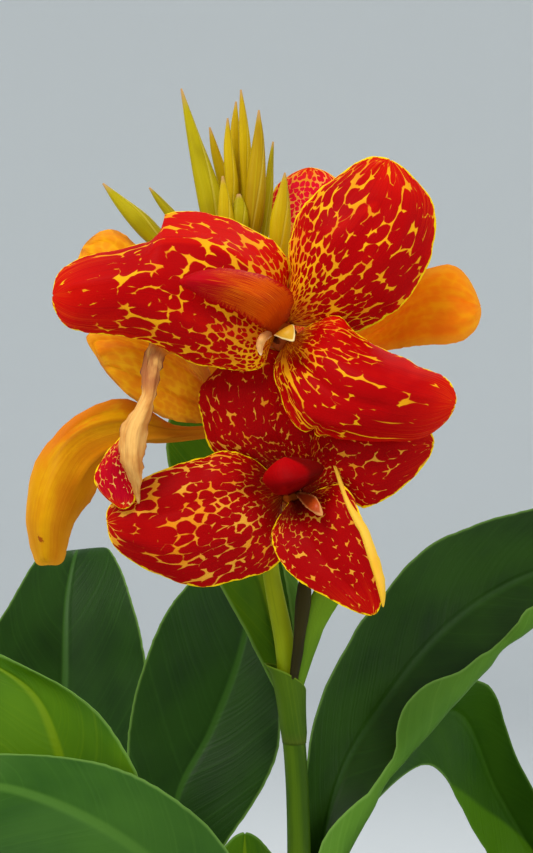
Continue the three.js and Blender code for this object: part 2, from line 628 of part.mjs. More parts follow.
const SOIL_PROFILE = [
  [0, POT_FLOOR + GAP], [innerAt(POT_FLOOR) - 2 * GAP, POT_FLOOR + GAP],
  [innerAt(SOIL_TOP - 3) - GAP, SOIL_TOP - 3], [innerAt(SOIL_TOP) - 14, SOIL_TOP], [0, SOIL_TOP + 5],
];

// The rhizome lies level under the shoots, thick in the middle and blunt at both ends.
const RHIZOME = [
  [-RHIZOME_LENGTH / 2 - 16, 4, RHIZOME_Z, 8], [-RHIZOME_LENGTH / 2, 6, RHIZOME_Z, RHIZOME_RADIUS - 3],
  [0, 4, RHIZOME_Z, RHIZOME_RADIUS], [RHIZOME_LENGTH / 2, 20, RHIZOME_Z, RHIZOME_RADIUS - 3],
  [RHIZOME_LENGTH / 2 + 12, 25, RHIZOME_Z, 8],
];

const turned = (profile) =>
  new THREE.LatheGeometry(profile.map(([r, z]) => new THREE.Vector2(r, z)), POT_SIDES).rotateX(Math.PI / 2);

function addPot() {
  const drains = Array.from({ length: DRAIN_COUNT }, (_, i) => {
    const angle = (2 * Math.PI * i) / DRAIN_COUNT;
    const drain = new THREE.CylinderGeometry(DRAIN_RADIUS, DRAIN_RADIUS, 4 * POT_FLOOR, 12).rotateX(Math.PI / 2);
    return drain.translate(DRAIN_CIRCLE * Math.cos(angle), DRAIN_CIRCLE * Math.sin(angle), 0);
  });
  add(plant, "pot", seat(turned(POT_PROFILE), drains), "pot", 0.8);
}

function addSoil() {
  const rhizome = (grow) => roundGeometry(RHIZOME, 8, STEM_SIDES, grow);
  const rooms = Object.keys(SHOOTS).map((name) => shootShape(name, GAP));
  add(plant, "rhizome", seat(rhizome(0), rooms), "rhizome", 0.9);
  add(plant, "soil", seat(turned(SOIL_PROFILE), [rhizome(GAP), ...rooms]), "soil", 1);
}

addPot();
addSoil();
addShootsAndLeaves();
addFlowerHead();

export default plant;
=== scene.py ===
"""The visible canna lily: detailed petals, leaves, buds, stems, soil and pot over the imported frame."""

import math

import bmesh
import bpy
import numpy as np
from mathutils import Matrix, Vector


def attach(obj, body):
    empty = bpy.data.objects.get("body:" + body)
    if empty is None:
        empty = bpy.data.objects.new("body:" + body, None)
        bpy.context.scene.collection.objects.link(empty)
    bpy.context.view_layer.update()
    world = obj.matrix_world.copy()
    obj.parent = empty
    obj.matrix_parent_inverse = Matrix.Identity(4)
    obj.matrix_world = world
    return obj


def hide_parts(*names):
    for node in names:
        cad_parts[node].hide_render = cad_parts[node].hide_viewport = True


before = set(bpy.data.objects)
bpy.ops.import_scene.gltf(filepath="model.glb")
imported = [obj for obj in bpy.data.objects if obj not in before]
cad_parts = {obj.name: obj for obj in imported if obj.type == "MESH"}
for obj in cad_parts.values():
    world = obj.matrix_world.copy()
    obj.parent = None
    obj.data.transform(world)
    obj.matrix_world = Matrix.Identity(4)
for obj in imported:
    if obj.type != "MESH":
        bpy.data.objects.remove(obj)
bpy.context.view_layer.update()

# ---- sizes, in millimetres, in the plant's frame ----

MM = 0.001
HEAD_AT = np.array([-10.7, -45.0, 730.0])  # the flower head's own origin; its tables start there
PETAL_THICK = 0.7
LEAF_THICK = 1.0
POT_HEIGHT, POT_BASE_RADIUS, POT_TOP_RADIUS = 215, 88, 122
POT_WALL, POT_FLOOR, RIM_HEIGHT, RIM_STEP = 6, 8, 30, 7
DRAIN_RADIUS, DRAIN_CIRCLE, DRAIN_COUNT = 6, 52, 3
SOIL_TOP, SOIL_CROWN = 187, 5
VIEW_DISTANCE = 420  # from the camera to the flower head's origin
VIEW_FOCAL = 1400  # the lens's focal length, in pixels of the photograph
FRAME_HEIGHT = 853  # the photograph's long side, in pixels
# The grids of the meshes: rows along a piece, and columns across it or round it.
PETAL_GRID, SMALL_GRID, LEAF_GRID, SHEATH_GRID = (64, 41), (28, 17), (90, 41), (26, 44)
STALK_GRID, TUBE_GRID, BUD_GRID, SHOOT_GRID, RHIZOME_GRID = (90, 20), (30, 20), (60, 24), (120, 28), (60, 28)
LEAF_CREASE = 0.7  # how sharply a leaf is folded along its midrib, from 0 to 1
BLADE_END = 0.992  # share of a blade's length where its mesh is closed, just short of its tip
ROLL_FROM = 0.6  # share of the half width where a rolled margin starts
SHEATH_THICK = 0.34
SHEATH_WRAP = 1.08  # half turns that a sheath reaches round its shoot each way, so that its edges overlap
POT_SIDES, DRAIN_SIDES, SOIL_RINGS, SOIL_SIDES, SOIL_SEED = 128, 32, 46, 160, 7
SHARP = 40  # degrees between two faces, over which the edge of a turned body stays sharp
FLOOR_RADIUS, BEND_RADIUS, WALL_TOP, STAGE_SIDES = 3400, 1400, 3600, 96

# ---- shape tables, in the flower head's frame: x to the right, y back, z up ----

# A blade is [left edge, middle, right edge] at each station from its base up, then its tip. Seen with the
# tip up, its upper face is towards the viewer. roll is the angle of its left and right margins, towards the
# upper face. ruffle is the height and the length of the waves along its margins. cells is the width of the
# patches of colour and how much longer they are along the blade. A fold is where it lies across the blade,
# its height, its width, and where it starts and ends along the blade. A tear is on the left (-1) or right
# (1) margin: where it starts and ends along the blade and how deep it is; it is steep at its start. start
# is the share of the half width where a roll begins, tight its largest radius, and a flap is where a rolled
# margin is wider or narrower, by how much and how far.
BLADES = {
    "front_staminode_left": dict(
        stations=[
            [(2, 20, 27), (3, 19, 29), (4, 20, 31)], [(-3, 10, 17.5), (-5, 4, 33), (7, 14, 50)],
            [(-16, 8, 18), (-17, -3, 39), (-9, 14, 63.5)], [(-29, 6, 22.3), (-29, -5, 41), (-29, 13, 66)],
            [(-41, 4, 27), (-39, -5, 42), (-37.5, 8, 57)], [(-60, 3, 30), (-54, -3, 40.5), (-59.5, 5, 49.5)],
        ],
        tip=(-64.7, 3, 39.5), cells=(4.6, 1.05),
        folds=[(0.55, 2.6, 0.2, 0.08, 0.66), (-0.1, -1.0, 0.3, 0.1, 0.7), (0.2, 0.9, 0.12, 0.5, 1.0)],
        ruffle=(1.0, 17), tears=[(1, 0.535, 0.68, 6.0)],
    ),
    "front_staminode_upper": dict(
        stations=[
            [(5, 20, 32), (6.5, 19, 33), (8, 20, 32)], [(7, 15, 47), (15, 7, 42), (27, 17, 29)],
            [(8, 14, 62), (24, 1, 53), (42, 11, 38)], [(14.5, 12, 71), (31, 1, 62), (50, 8, 51)],
            [(27, 11, 80.8), (36, 4, 71), (50.5, 8, 69)],
        ],
        tip=(38, 9, 81.8), cells=(3.3, 1.5),
        folds=[(-0.62, 1.6, 0.12, 0.55, 1.1), (0.1, -1.2, 0.25, 0.1, 0.8), (0.5, 0.9, 0.15, 0.4, 1.0)],
        ruffle=(0.9, 13),
    ),
    "front_staminode_right": dict(
        stations=[
            [(8.5, 20, 28.5), (7.2, 19, 26.8), (4.6, 20, 24.6)],
            [(20, 12, 34), (13.5, 2, 20), (2.4, 10, 14.5)],
            [(32, 6, 25.5), (23.5, -6, 13), (11, 5, -1.4)], [(42.5, 2, 19.7), (35, -8, 9), (25, 2, -4)],
            [(53, -1, 15), (46, -6, 7), (48, 1, -3)],
        ],
        tip=(56.5, -2, 6.5), cells=(3.3, 2.0),
        folds=[(0.25, -1.6, 0.14, 0.05, 0.7), (-0.2, 1.2, 0.16, 0.1, 0.9), (0.7, 1.1, 0.1, 0.1, 0.62)],
        ruffle=(1.0, 15), tears=[(1, 0.41, 0.46, 2.6), (1, 0.48, 0.56, 1.8)],
    ),
    "front_labellum": dict(
        stations=[
            [(2.5, 20, 28), (4.5, 19.6, 31), (6.5, 20, 32.5)], [(-2, 2, 30.5), (1, -5, 36), (7.6, 3.4, 40.6)],
            [(-12, -5, 35.2), (-9, -11, 40.5), (-4, -5, 45.6)],
            [(-20, -9, 38.6), (-18.5, -13, 42.2), (-16, -9, 46.2)],
        ],
        tip=(-25.6, -10, 42.6), cells=(5.0, 1.0), folds=[(0.0, 0.9, 0.3, 0.2, 1.0)], ruffle=(0.3, 11),
    ),
    "front_style": dict(
        stations=[
            [(4, 20, 28), (5, 19.8, 29), (6, 20, 29)], [(2.5, 0, 27.3), (5.5, -2, 29), (8, 0, 30.5)],
        ],
        tip=(8, -5, 25.3), ruffle=(0.0, 10),
    ),
    "front_anther": dict(
        stations=[
            [(0, 14, 29), (1, 13, 29.5), (1.5, 14, 28)],
            [(-1.9, -1, 27.4), (-1.1, -3, 26.6), (-0.1, -1, 25.6)],
            [(-2.9, -2.8, 24.4), (-2, -4, 24.2), (-1, -2.4, 24.1)],
        ],
        tip=(-1.7, -3, 21.2), ruffle=(0.0, 10),
    ),
    "lower_staminode_left": dict(
        stations=[
            [(5, 28, -22.5), (5.5, 27, -21), (6, 28, -19)], [(4, 20, -42), (-6, 13, -23), (-7, 18, -8.5)],
            [(-9, 17, -48), (-19, 9, -26), (-20, 17, -9.5)],
            [(-26, 15, -49), (-31, 8, -29), (-32, 15, -13.5)],
            [(-44.5, 13, -39.5), (-42.5, 8.5, -30), (-46.5, 13.5, -22)],
        ],
        tip=(-49.3, 12, -29.5), cells=(3.2, 1.6),
        folds=[(0.15, -1.6, 0.2, 0.05, 0.75), (-0.45, 0.8, 0.15, 0.1, 0.9)],
        ruffle=(0.9, 14),
    ),
    "lower_staminode_upper": dict(
        stations=[
            [(6, 28, -18.5), (8.5, 27, -17.5), (11, 28, -19.5)],
            [(-15, 22, -10), (0, 18, -4), (18.5, 22, -10)],
            [(-20.5, 21, 3), (-2, 16, 6), (20, 22, 4)], [(-19, 21, 15), (-2, 17, 17), (18, 22, 16)],
        ],
        tip=(-2, 21, 25), cells=(2.7, 1.1), ruffle=(0.8, 14), folds=[(0.1, 1.2, 0.3, 0.2, 0.9)],
    ),
    "lower_staminode_right": dict(
        stations=[
            [(10.5, 28, -18.6), (11.5, 27, -21), (11, 28, -22.5)],
            [(15.8, 19, 3), (19.5, 14, -9), (23, 17, -20.5)],
            [(32, 16, 6), (32, 10, -8), (31, 14, -25)], [(46, 12, 3), (42, 8, -7), (43, 12, -18)],
        ],
        tip=(51.5, 10, -5.5), cells=(2.8, 1.3), ruffle=(0.9, 12), folds=[(-0.2, 1.4, 0.2, 0.2, 0.8)],
    ),
    "lower_staminode_bottom": dict(
        stations=[
            [(10.5, 28, -23), (9, 27, -24), (7.5, 28, -23.5)],
            [(23.5, 11, -18), (12.5, 13, -30), (1.5, 17, -34)],
            [(30.5, 5, -32), (18.5, 8, -39), (6.5, 12, -44.5)],
            [(35, 3, -45.5), (25.5, 5, -47.5), (17, 8, -51.5)],
        ],
        tip=(32.2, 4, -57.2), cells=(2.5, 1.2), ruffle=(0.4, 12), folds=[(0.15, -1.5, 0.3, 0.15, 0.9)],
    ),
    "lower_staminode_fold": dict(
        stations=[
            [(20.8, 13.6, -12), (21.1, 13.2, -12.3), (21.4, 13.6, -12)],
            [(24.2, 8.4, -23.4), (24.8, 7.6, -23), (25.5, 9, -22.4)],
            [(28.8, 4.4, -33.5), (29.8, 3.4, -32.8), (31, 5, -31.6)],
            [(32.3, 2.6, -44.6), (33.5, 1.6, -44.4), (35.1, 3, -43.8)],
            [(34, 2.4, -50.3), (34.9, 1.8, -50.2), (35.9, 3, -49.8)],
        ],
        tip=(35.2, 3.2, -54.6), ruffle=(0.25, 9),
    ),
    "lower_stamen": dict(
        stations=[
            [(7, 28, -22), (8.6, 27.8, -21), (10.4, 28, -20.4)],
            [(2.4, 9, -20.4), (8.6, 2.2, -17.4), (16, 9, -15.6)],
            [(-1, 7.5, -15.4), (6.6, 1, -13.6), (16.6, 8, -11.4)],
        ],
        tip=(5.6, 4.6, -9.4), ruffle=(0.0, 10),
    ),
    "lower_style": dict(
        stations=[
            [(9.9, 28, -20.6), (9.9, 27.8, -21.2), (9.1, 28, -21.6)],
            [(15, 8, -21.5), (14, 6, -23.5), (12.5, 8, -25)],
        ],
        tip=(17, 4, -27), ruffle=(0.0, 10),
    ),
    "faded_petal_upper": dict(
        stations=[
            [(-10.5, 40.5, 6), (-11.5, 40.5, 5), (-12.5, 40.5, 4)],
            [(-20, 37, 43), (-27, 34, 36), (-35, 36, 28)],
            [(-41, 35, 58.5), (-45, 32, 49), (-50, 34, 37)], [(-51.5, 35, 64), (-54, 33, 55), (-61, 35, 45)],
        ],
        tip=(-60, 36, 58), folds=[(0.2, 1.2, 0.12, 0.2, 1.0), (-0.5, 0.9, 0.1, 0.3, 1.0)], ruffle=(0.8, 13),
    ),
    "faded_petal_left": dict(
        stations=[
            [(-11.5, 39.5, 5.5), (-12, 39.5, 4.5), (-12.5, 39.5, 3)],
            [(-27, 29, 25), (-25.5, 26, 12.5), (-24, 29, 1)],
            [(-44.5, 25, 30), (-39.5, 21, 19), (-36, 25, 4.5)],
            [(-57, 25, 29), (-49.5, 23, 21), (-46, 25, 12)],
        ],
        tip=(-52.5, 26, 19.5),
        folds=[(0.3, 1.4, 0.12, 0.1, 0.95), (-0.35, -1.4, 0.15, 0.1, 0.9), (-0.7, 1.0, 0.1, 0.2, 1.0)],
        ruffle=(0.8, 13),
    ),
    "faded_petal_drooping": dict(
        stations=[
            [(-13, 41, 1), (-13.5, 41, -1), (-13, 41, -3)],
            [(-30, 38, 0.5), (-30, 38, -2.3), (-30, 38, -5.2)],
            [(-45, 32, 9), (-46, 30, -2), (-45, 32, -6.5)],
            [(-60.5, 26, 3.5), (-57.5, 22, -6.5), (-52, 26, -16)],
            [(-72, 22, -9.5), (-64, 17, -16), (-56, 23, -24)],
            [(-75.5, 20, -28), (-68, 15, -28.5), (-61, 21, -31)],
            [(-73, 20.5, -41.8), (-68.5, 18, -39.5), (-64, 21, -42.3)],
        ],
        tip=(-68.4, 20, -43.5),
        folds=[
            (0.45, -1.6, 0.12, 0.06, 0.6), (-0.2, -1.2, 0.3, 0.45, 0.98), (-0.42, -1.5, 0.09, 0.2, 0.6),
            (-0.7, 1.0, 0.12, 0.25, 0.6)
        ],
        ruffle=(0.5, 16),
    ),
    "withered_petal": dict(
        stations=[
            [(-14, 36, 5.5), (-14, 36, 6.5), (-14, 36, 7.5)], [(-25, 21, 20), (-24, 20, 23), (-23, 21, 26)],
            [(-31, 13, 22), (-33, 11, 25), (-35, 13, 27)],
            [(-32.8, 9.5, 15.4), (-35.6, 6, 15.8), (-38.6, 9.5, 16.3)],
            [(-34.2, 7.5, 8.1), (-36.4, 4, 8.6), (-38.2, 7.5, 9.3)],
            [(-36, 5, -1.1), (-40.4, 0.5, -1.1), (-44.4, 5, -1.1)],
            [(-37.2, 4, -10.5), (-40.8, -0.5, -10.5), (-44, 4, -10.5)],
            [(-38.2, 5, -17.5), (-39.4, 3, -17.5), (-41, 5, -17.5)],
        ],
        tip=(-38.9, 6, -23.5), ruffle=(0.5, 7), nicks=0.9,
        folds=[(-0.35, 1.2, 0.16, 0.25, 0.95), (0.5, -0.9, 0.2, 0.2, 0.8), (0.05, 0.7, 0.1, 0.45, 1.0)],
    ),
    "withered_petal_flap": dict(
        stations=[
            [(-42.5, 8, -4), (-43.5, 7, -3.5), (-44.5, 8, -3)],
            [(-42, 8, -14), (-46.5, 6, -13), (-51, 8, -11)],
            [(-40, 7, -22), (-46, 6, -20.5), (-52, 7, -18)],
        ],
        tip=(-44.5, 7, -25), cells=(1.9, 1.3), ruffle=(0.5, 8),
    ),
    "back_petal_right": dict(
        stations=[
            [(14, 42, 19), (14, 42, 21), (14, 42, 23)], [(36, 35, 24), (34, 36, 29), (32, 35, 34)],
            [(48.5, 31, 26), (48.5, 29, 38), (45.5, 31, 47.5)],
            [(64, 30, 28), (60, 27, 39), (60.5, 30, 51.5)],
        ],
        tip=(69, 31, 38.5), folds=[(0.2, 1.2, 0.14, 0.2, 0.95), (-0.5, -0.8, 0.12, 0.3, 1.0)],
        ruffle=(0.6, 14),
    ),
    "back_staminode_upper": dict(
        stations=[
            [(10, 45, 20), (12, 45, 21), (14, 45, 20)], [(2, 53, 52), (13, 50, 54), (24, 53, 53)],
            [(0.8, 55, 70), (14, 52, 72), (27.5, 55, 70)], [(4, 56, 82.5), (14.5, 54, 83.5), (25.5, 56, 82)],
        ],
        tip=(15, 56, 88), cells=(1.8, 1.0), ruffle=(0.7, 12),
    ),
    "bract_right": dict(
        stations=[
            [(9.5, 42, -88), (11, 43, -88), (11.5, 46, -88)], [(12, 41, -68), (15.5, 42, -68), (19, 44, -67)],
            [(15, 40, -55), (20, 40, -55), (25, 42, -56)],
        ],
        tip=(27, 40, -42), ruffle=(0.2, 20),
    ),
    "bract_dark": dict(
        stations=[
            [(7, 40.5, -88), (8.5, 41, -88), (9.5, 42, -88)],
            [(9, 39, -68), (11, 38.3, -68), (12.9, 39.6, -68)],
            [(9.8, 38, -55), (12.2, 37, -55), (14.6, 38, -55)],
        ],
        tip=(13, 37, -40), ruffle=(0.2, 20),
    ),
}

LEAVES = {
    "leaf_top": dict(
        stations=[
            [(6, 45.5, -94), (7.5, 46.5, -94.5), (9.5, 46.5, -94)],
            [(-11, 54, -62), (0, 60, -59), (16, 56, -56.5)],
            [(-27.5, 61, -34.5), (-9, 68, -32), (14, 62, -30)], [(-35, 69, -7), (-16, 76, -5), (5, 69, -5)],
            [(-31, 75, 14), (-21, 81, 14), (-9, 75, 14)],
        ],
        tip=(-24, 80, 29), roll=(0, 2.3), tight=1.7, ruffle=(0.8, 40),
    ),
    "leaf_right": dict(
        stations=[
            [(12, 48, -162), (14.5, 47.5, -163), (15, 44, -164)],
            [(13, 57, -114), (25, 66, -123), (43.5, 54, -138.5)],
            [(28.5, 78, -78.5), (45, 90, -97.5), (71.5, 71.5, -119)],
            [(54.5, 100, -49.5), (70.5, 112, -75), (96.5, 90, -101.5)],
            [(89, 116, -34.5), (102, 126, -58.5), (120, 105.5, -80)],
            [(127, 126, -32.5), (137.5, 134, -52), (145.5, 120.5, -68)],
        ],
        tip=(165, 132, -63), roll=(0, 2.85), tight=4.5, start=0.45,
        flaps=[
            (0.05, 1.3, 0.065), (0.215, -0.5, 0.05), (0.44, -0.4, 0.07), (0.53, -0.6, 0.05),
            (0.7, -0.55, 0.13)
        ],
        ruffle=(1.8, 44),
    ),
    "leaf_right_back": dict(
        stations=[
            [(12, 49, -184), (14, 49.5, -185), (16, 47, -186)],
            [(25, 95, -124.5), (29, 98, -136), (31.5, 93, -150)],
            [(81.5, 126, -99), (71.5, 130, -111.5), (62.5, 120, -130.5)],
            [(102, 146, -136), (94.5, 154, -150), (85, 142, -166)],
            [(130, 154, -188), (120, 162, -194.5), (110, 152, -202)],
        ],
        tip=(138, 158, -231), ruffle=(1.2, 44),
    ),
    "leaf_middle": dict(
        stations=[
            [(-38, 100, -176), (-36, 101, -177), (-34, 100, -178)],
            [(-50, 102, -140), (-34, 108, -141), (-14, 102, -154)],
            [(-52, 106, -116), (-21.5, 116, -117), (3.5, 106, -125)],
            [(-46, 112, -89), (-11.5, 122, -93), (5, 112, -102)],
            [(-34, 120, -65), (-6.5, 128, -70), (4, 120, -78)],
        ],
        tip=(-8, 132, -47), ruffle=(1.0, 38),
    ),
    "leaf_left_back": dict(
        stations=[
            [(-78, 150, -206), (-76, 151, -207), (-74, 150, -208)],
            [(-115, 150, -144), (-83.5, 162, -144), (-57.5, 150, -144)],
            [(-122, 158, -105), (-85, 172, -104), (-50, 158, -100)],
            [(-108, 172, -74), (-86, 184, -74), (-58, 172, -71)],
            [(-97, 192, -56), (-83.5, 200, -55), (-70, 192, -53)],
        ],
        tip=(-84, 226, -70), ruffle=(1.2, 42),
    ),
    "leaf_left": dict(
        stations=[
            [(-43, 25, -164), (-41, 26, -165), (-39, 25, -164)],
            [(-90, 14, -130), (-61, 24, -126), (-38, 16, -117)],
            [(-109, 12, -105), (-66, 24, -102), (-49.5, 16, -93.5)],
            [(-111, 18, -86), (-76, 28, -84), (-68, 22, -79.5)],
        ],
        tip=(-99, 32, -71), ruffle=(1.0, 40),
    ),
    "leaf_front_left": dict(
        stations=[
            [(7, 42.3, -184), (6.5, 43.2, -182), (7, 44, -180)],
            [(-44, 10, -168), (-25, 24, -147), (-14, 26, -133)],
            [(-69, -4, -143), (-50, 10, -123), (-39, 14, -109)],
            [(-88, -12, -124), (-78, 2, -109), (-67, 8, -100.5)],
            [(-108, -14, -116), (-104, -2, -108), (-99, 4, -101.5)],
        ],
        tip=(-124, -2, -111), ruffle=(1.2, 42),
    ),
    "leaf_side_back": dict(
        stations=[
            [(-26, 87.5, -352), (-22.3, 86.6, -353), (-18.6, 88, -352)],
            [(-38, 85, -296), (-17, 80, -302), (4, 84, -296)],
            [(-42, 84, -240), (-12, 77, -245), (16, 83, -240)],
            [(-35, 86, -192), (-9, 80, -196), (15, 85, -192)],
            [(-21, 86, -160.5), (-8, 82, -162), (5.5, 86, -160.5)],
        ],
        tip=(-7.8, 85, -146.3), ruffle=(1.0, 44),
    ),
}

# Leaves that arch out evenly, in the plant's frame: start x, y, z, heading in degrees, length, width,
# steepness.
ARCHING_LEAVES = {
    "leaf_low_right": (4, -2, 330, -25, 310, 116, 0.9),
    "leaf_low_front": (-40, -28, 285, -108, 270, 104, 0.8),
    "leaf_low_left": (-74, 58, 335, 172, 290, 112, 0.95),
    "leaf_low_back": (54, 55, 365, 55, 280, 108, 0.85),
    "leaf_back_top": (60, 64, 482, 12, 230, 80, 0.62),
    "leaf_low_front_right": (1.5, -4, 255, -62, 250, 96, 0.75),
}

# Round pieces in the flower head's frame: the line along the middle, with the radius at each of its points.
RACHIS = [
    (7.5, 45, -92, 3.4), (5.8, 45, -72, 3.3), (1, 45, -45, 2.8), (1, 46, -20, 2.6),
    (-1, 45, 10, 2.4), (-5, 44, 35, 2.1), (-8, 43.5, 58, 1.7), (-8.3, 43, 62, 1.2),
]
TUBES = {
    "front_flower_tube": [
        (-1, 45, 13, 2.6), (1, 40, 18, 3.4), (3.5, 31, 24, 2.8), (5, 21, 28, 4.4), (5.2, 19.5, 28.4, 4.6),
    ],
    "lower_flower_tube": [
        (1, 46, -34, 2.6), (4, 41, -29, 3.4), (7, 34, -24, 2.8), (8, 28.5, -21.2, 4.2), (8.2, 27.5, -21, 4.4),
    ],
    "faded_flower_tube": [(0.5, 46, -8, 2.2), (-4, 44, -3, 3.2), (-9, 42, 2, 2.6), (-12, 40.5, 4, 3.8)],
    "back_flower_tube": [(-0.5, 45, 3, 2.2), (4, 47, 9, 3.2), (9, 46, 16, 2.6), (12.5, 44.5, 22, 3.8)],
}
BUDS = {
    "bud_left_tall": [
        (-6.5, 44, 48, 1.1), (-13.5, 41, 58, 2.6), (-17, 40, 68, 4.2), (-20, 40, 80, 3.7), (-24, 40, 95, 2.1),
        (-28, 40, 111, 0.3),
    ],
    "bud_left_back": [
        (-7.5, 44, 54, 1.0), (-10.5, 48, 60, 1.4), (-12, 48, 70, 1.8), (-14.5, 48, 82, 2.0),
        (-17.2, 48, 92, 1.4), (-19, 48, 100, 0.3),
    ],
    "bud_middle": [
        (-8.2, 43.5, 60, 0.9), (-11, 41.5, 68, 1.9), (-11.5, 41, 80, 2.2), (-12.6, 41, 92, 1.5),
        (-12.8, 41, 101.5, 0.3),
    ],
    "bud_middle_back": [
        (-8.2, 43.5, 59, 0.9), (-9.6, 47, 68, 1.6), (-10, 47.5, 86, 2.1), (-10.5, 47.5, 99, 1.5),
        (-10.2, 47.5, 108.5, 0.3),
    ],
    "bud_top": [
        (-8.3, 43.2, 62.6, 1.1), (-6.8, 43.5, 74, 1.7), (-7, 43.5, 89, 2.0), (-7.7, 43.5, 101, 1.4),
        (-8.5, 43.5, 111.5, 0.3),
    ],
    "bud_right_tall": [
        (-7.4, 43.6, 52, 1.1), (-5.2, 39.5, 59, 1.9), (-4.4, 38, 69, 3.2), (-3.6, 38, 80, 3.2),
        (-2.7, 38, 93, 1.9), (-2.5, 38, 103.5, 0.3),
    ],
    "bud_right_thin": [
        (-6.9, 44, 49, 0.9), (-1.5, 46.5, 60, 1.3), (0.5, 47, 76, 1.5), (1.3, 47, 87, 1.0),
        (2.2, 47, 95, 0.3),
    ],
    "bud_right_short": [
        (-5.2, 44, 37, 1.1), (0.5, 39, 46, 1.8), (3.6, 35.5, 57, 3.2), (4.4, 35, 67, 3.3), (5.4, 35, 76, 1.7),
        (6, 35, 82.5, 0.3),
    ],
    "bud_front_short": [
        (-7.2, 43.6, 46, 0.9), (-11.5, 35.5, 56, 1.9), (-13, 33.5, 65, 2.7), (-13.6, 33, 73, 1.9),
        (-14.2, 33, 81, 0.3),
    ],
    "bud_round": [
        (-7.8, 43.5, 56, 0.9), (-9, 38, 60, 1.8), (-8.6, 35, 66, 2.6), (-8.8, 35, 71, 2.2),
        (-9, 35, 75.5, 0.6),
    ],
    "bud_low_left": [
        (-5.6, 44, 38, 1.1), (-14, 43, 45, 1.3), (-26, 41, 53, 1.9), (-36, 39, 61.5, 3.1),
        (-41.5, 38, 67, 3.2), (-48, 38, 73.5, 1.9), (-53.5, 38, 79.5, 0.3),
    ],
    "bud_low_back": [
        (-6.2, 44, 42, 1.0), (-18, 45.5, 55.5, 1.3), (-26.5, 46, 64, 1.9), (-31, 46, 69.5, 1.8),
        (-35.5, 46, 75, 1.2), (-39, 46, 79.5, 0.3),
    ],
}

GOLDEN_BUDS = (
    "bud_right_short", "bud_front_short", "bud_middle", "bud_middle_back", "bud_left_back", "bud_top"
)
BRONZE_BUDS = ("bud_right_tall",)

# Shoots and the rhizome that bears them, in the plant's frame: x, y, z, radius.
SHOOTS = {
    "flowering_stem": [
        (0, 0, 132, 12), (0, 0, 200, 12), (0, 0, 330, 9.5), (0.4, 0, 460, 6.6), (0.2, 0, 560, 4.3),
        (-0.4, 0, 608, 3.8), (-3.2, 0, 645, 3.9),
    ],
    "side_shoot_front": [
        (-34, -22, 128, 9.5), (-36, -23, 200, 9.5), (-42, -24, 350, 7.2), (-50, -21, 500, 5),
        (-51.7, -20, 571, 3.4),
    ],
    "side_shoot_middle": [
        (-18, 34, 128, 9.5), (-20, 38, 200, 9.5), (-32, 46, 350, 7.2), (-44, 54, 500, 5),
        (-46.7, 56, 559, 3.4),
    ],
    "side_shoot_back": [
        (38, 30, 128, 9.5), (42, 34, 200, 9.5), (50, 48, 330, 7.2), (58, 60, 450, 5), (60, 64, 490, 3.2),
    ],
    "side_shoot_left": [
        (-52, 16, 126, 9.5), (-58, 26, 200, 9.5), (-72, 62, 350, 7.2), (-84, 96, 480, 5),
        (-87, 106, 531, 3.4),
    ],
}
RHIZOME = [(-62, 4, 118, 8), (-46, 6, 118, 14), (0, 4, 118, 17), (46, 20, 118, 14), (58, 25, 118, 8)]


# ---- shader helpers ----


def colour(r, g, b):
    """An sRGB colour of 0 to 255 as the linear colour that a shader takes."""
    linear = [c / 255 / 12.92 if c <= 10 else ((c / 255 + 0.055) / 1.055) ** 2.4 for c in (r, g, b)]
    return (*linear, 1.0)


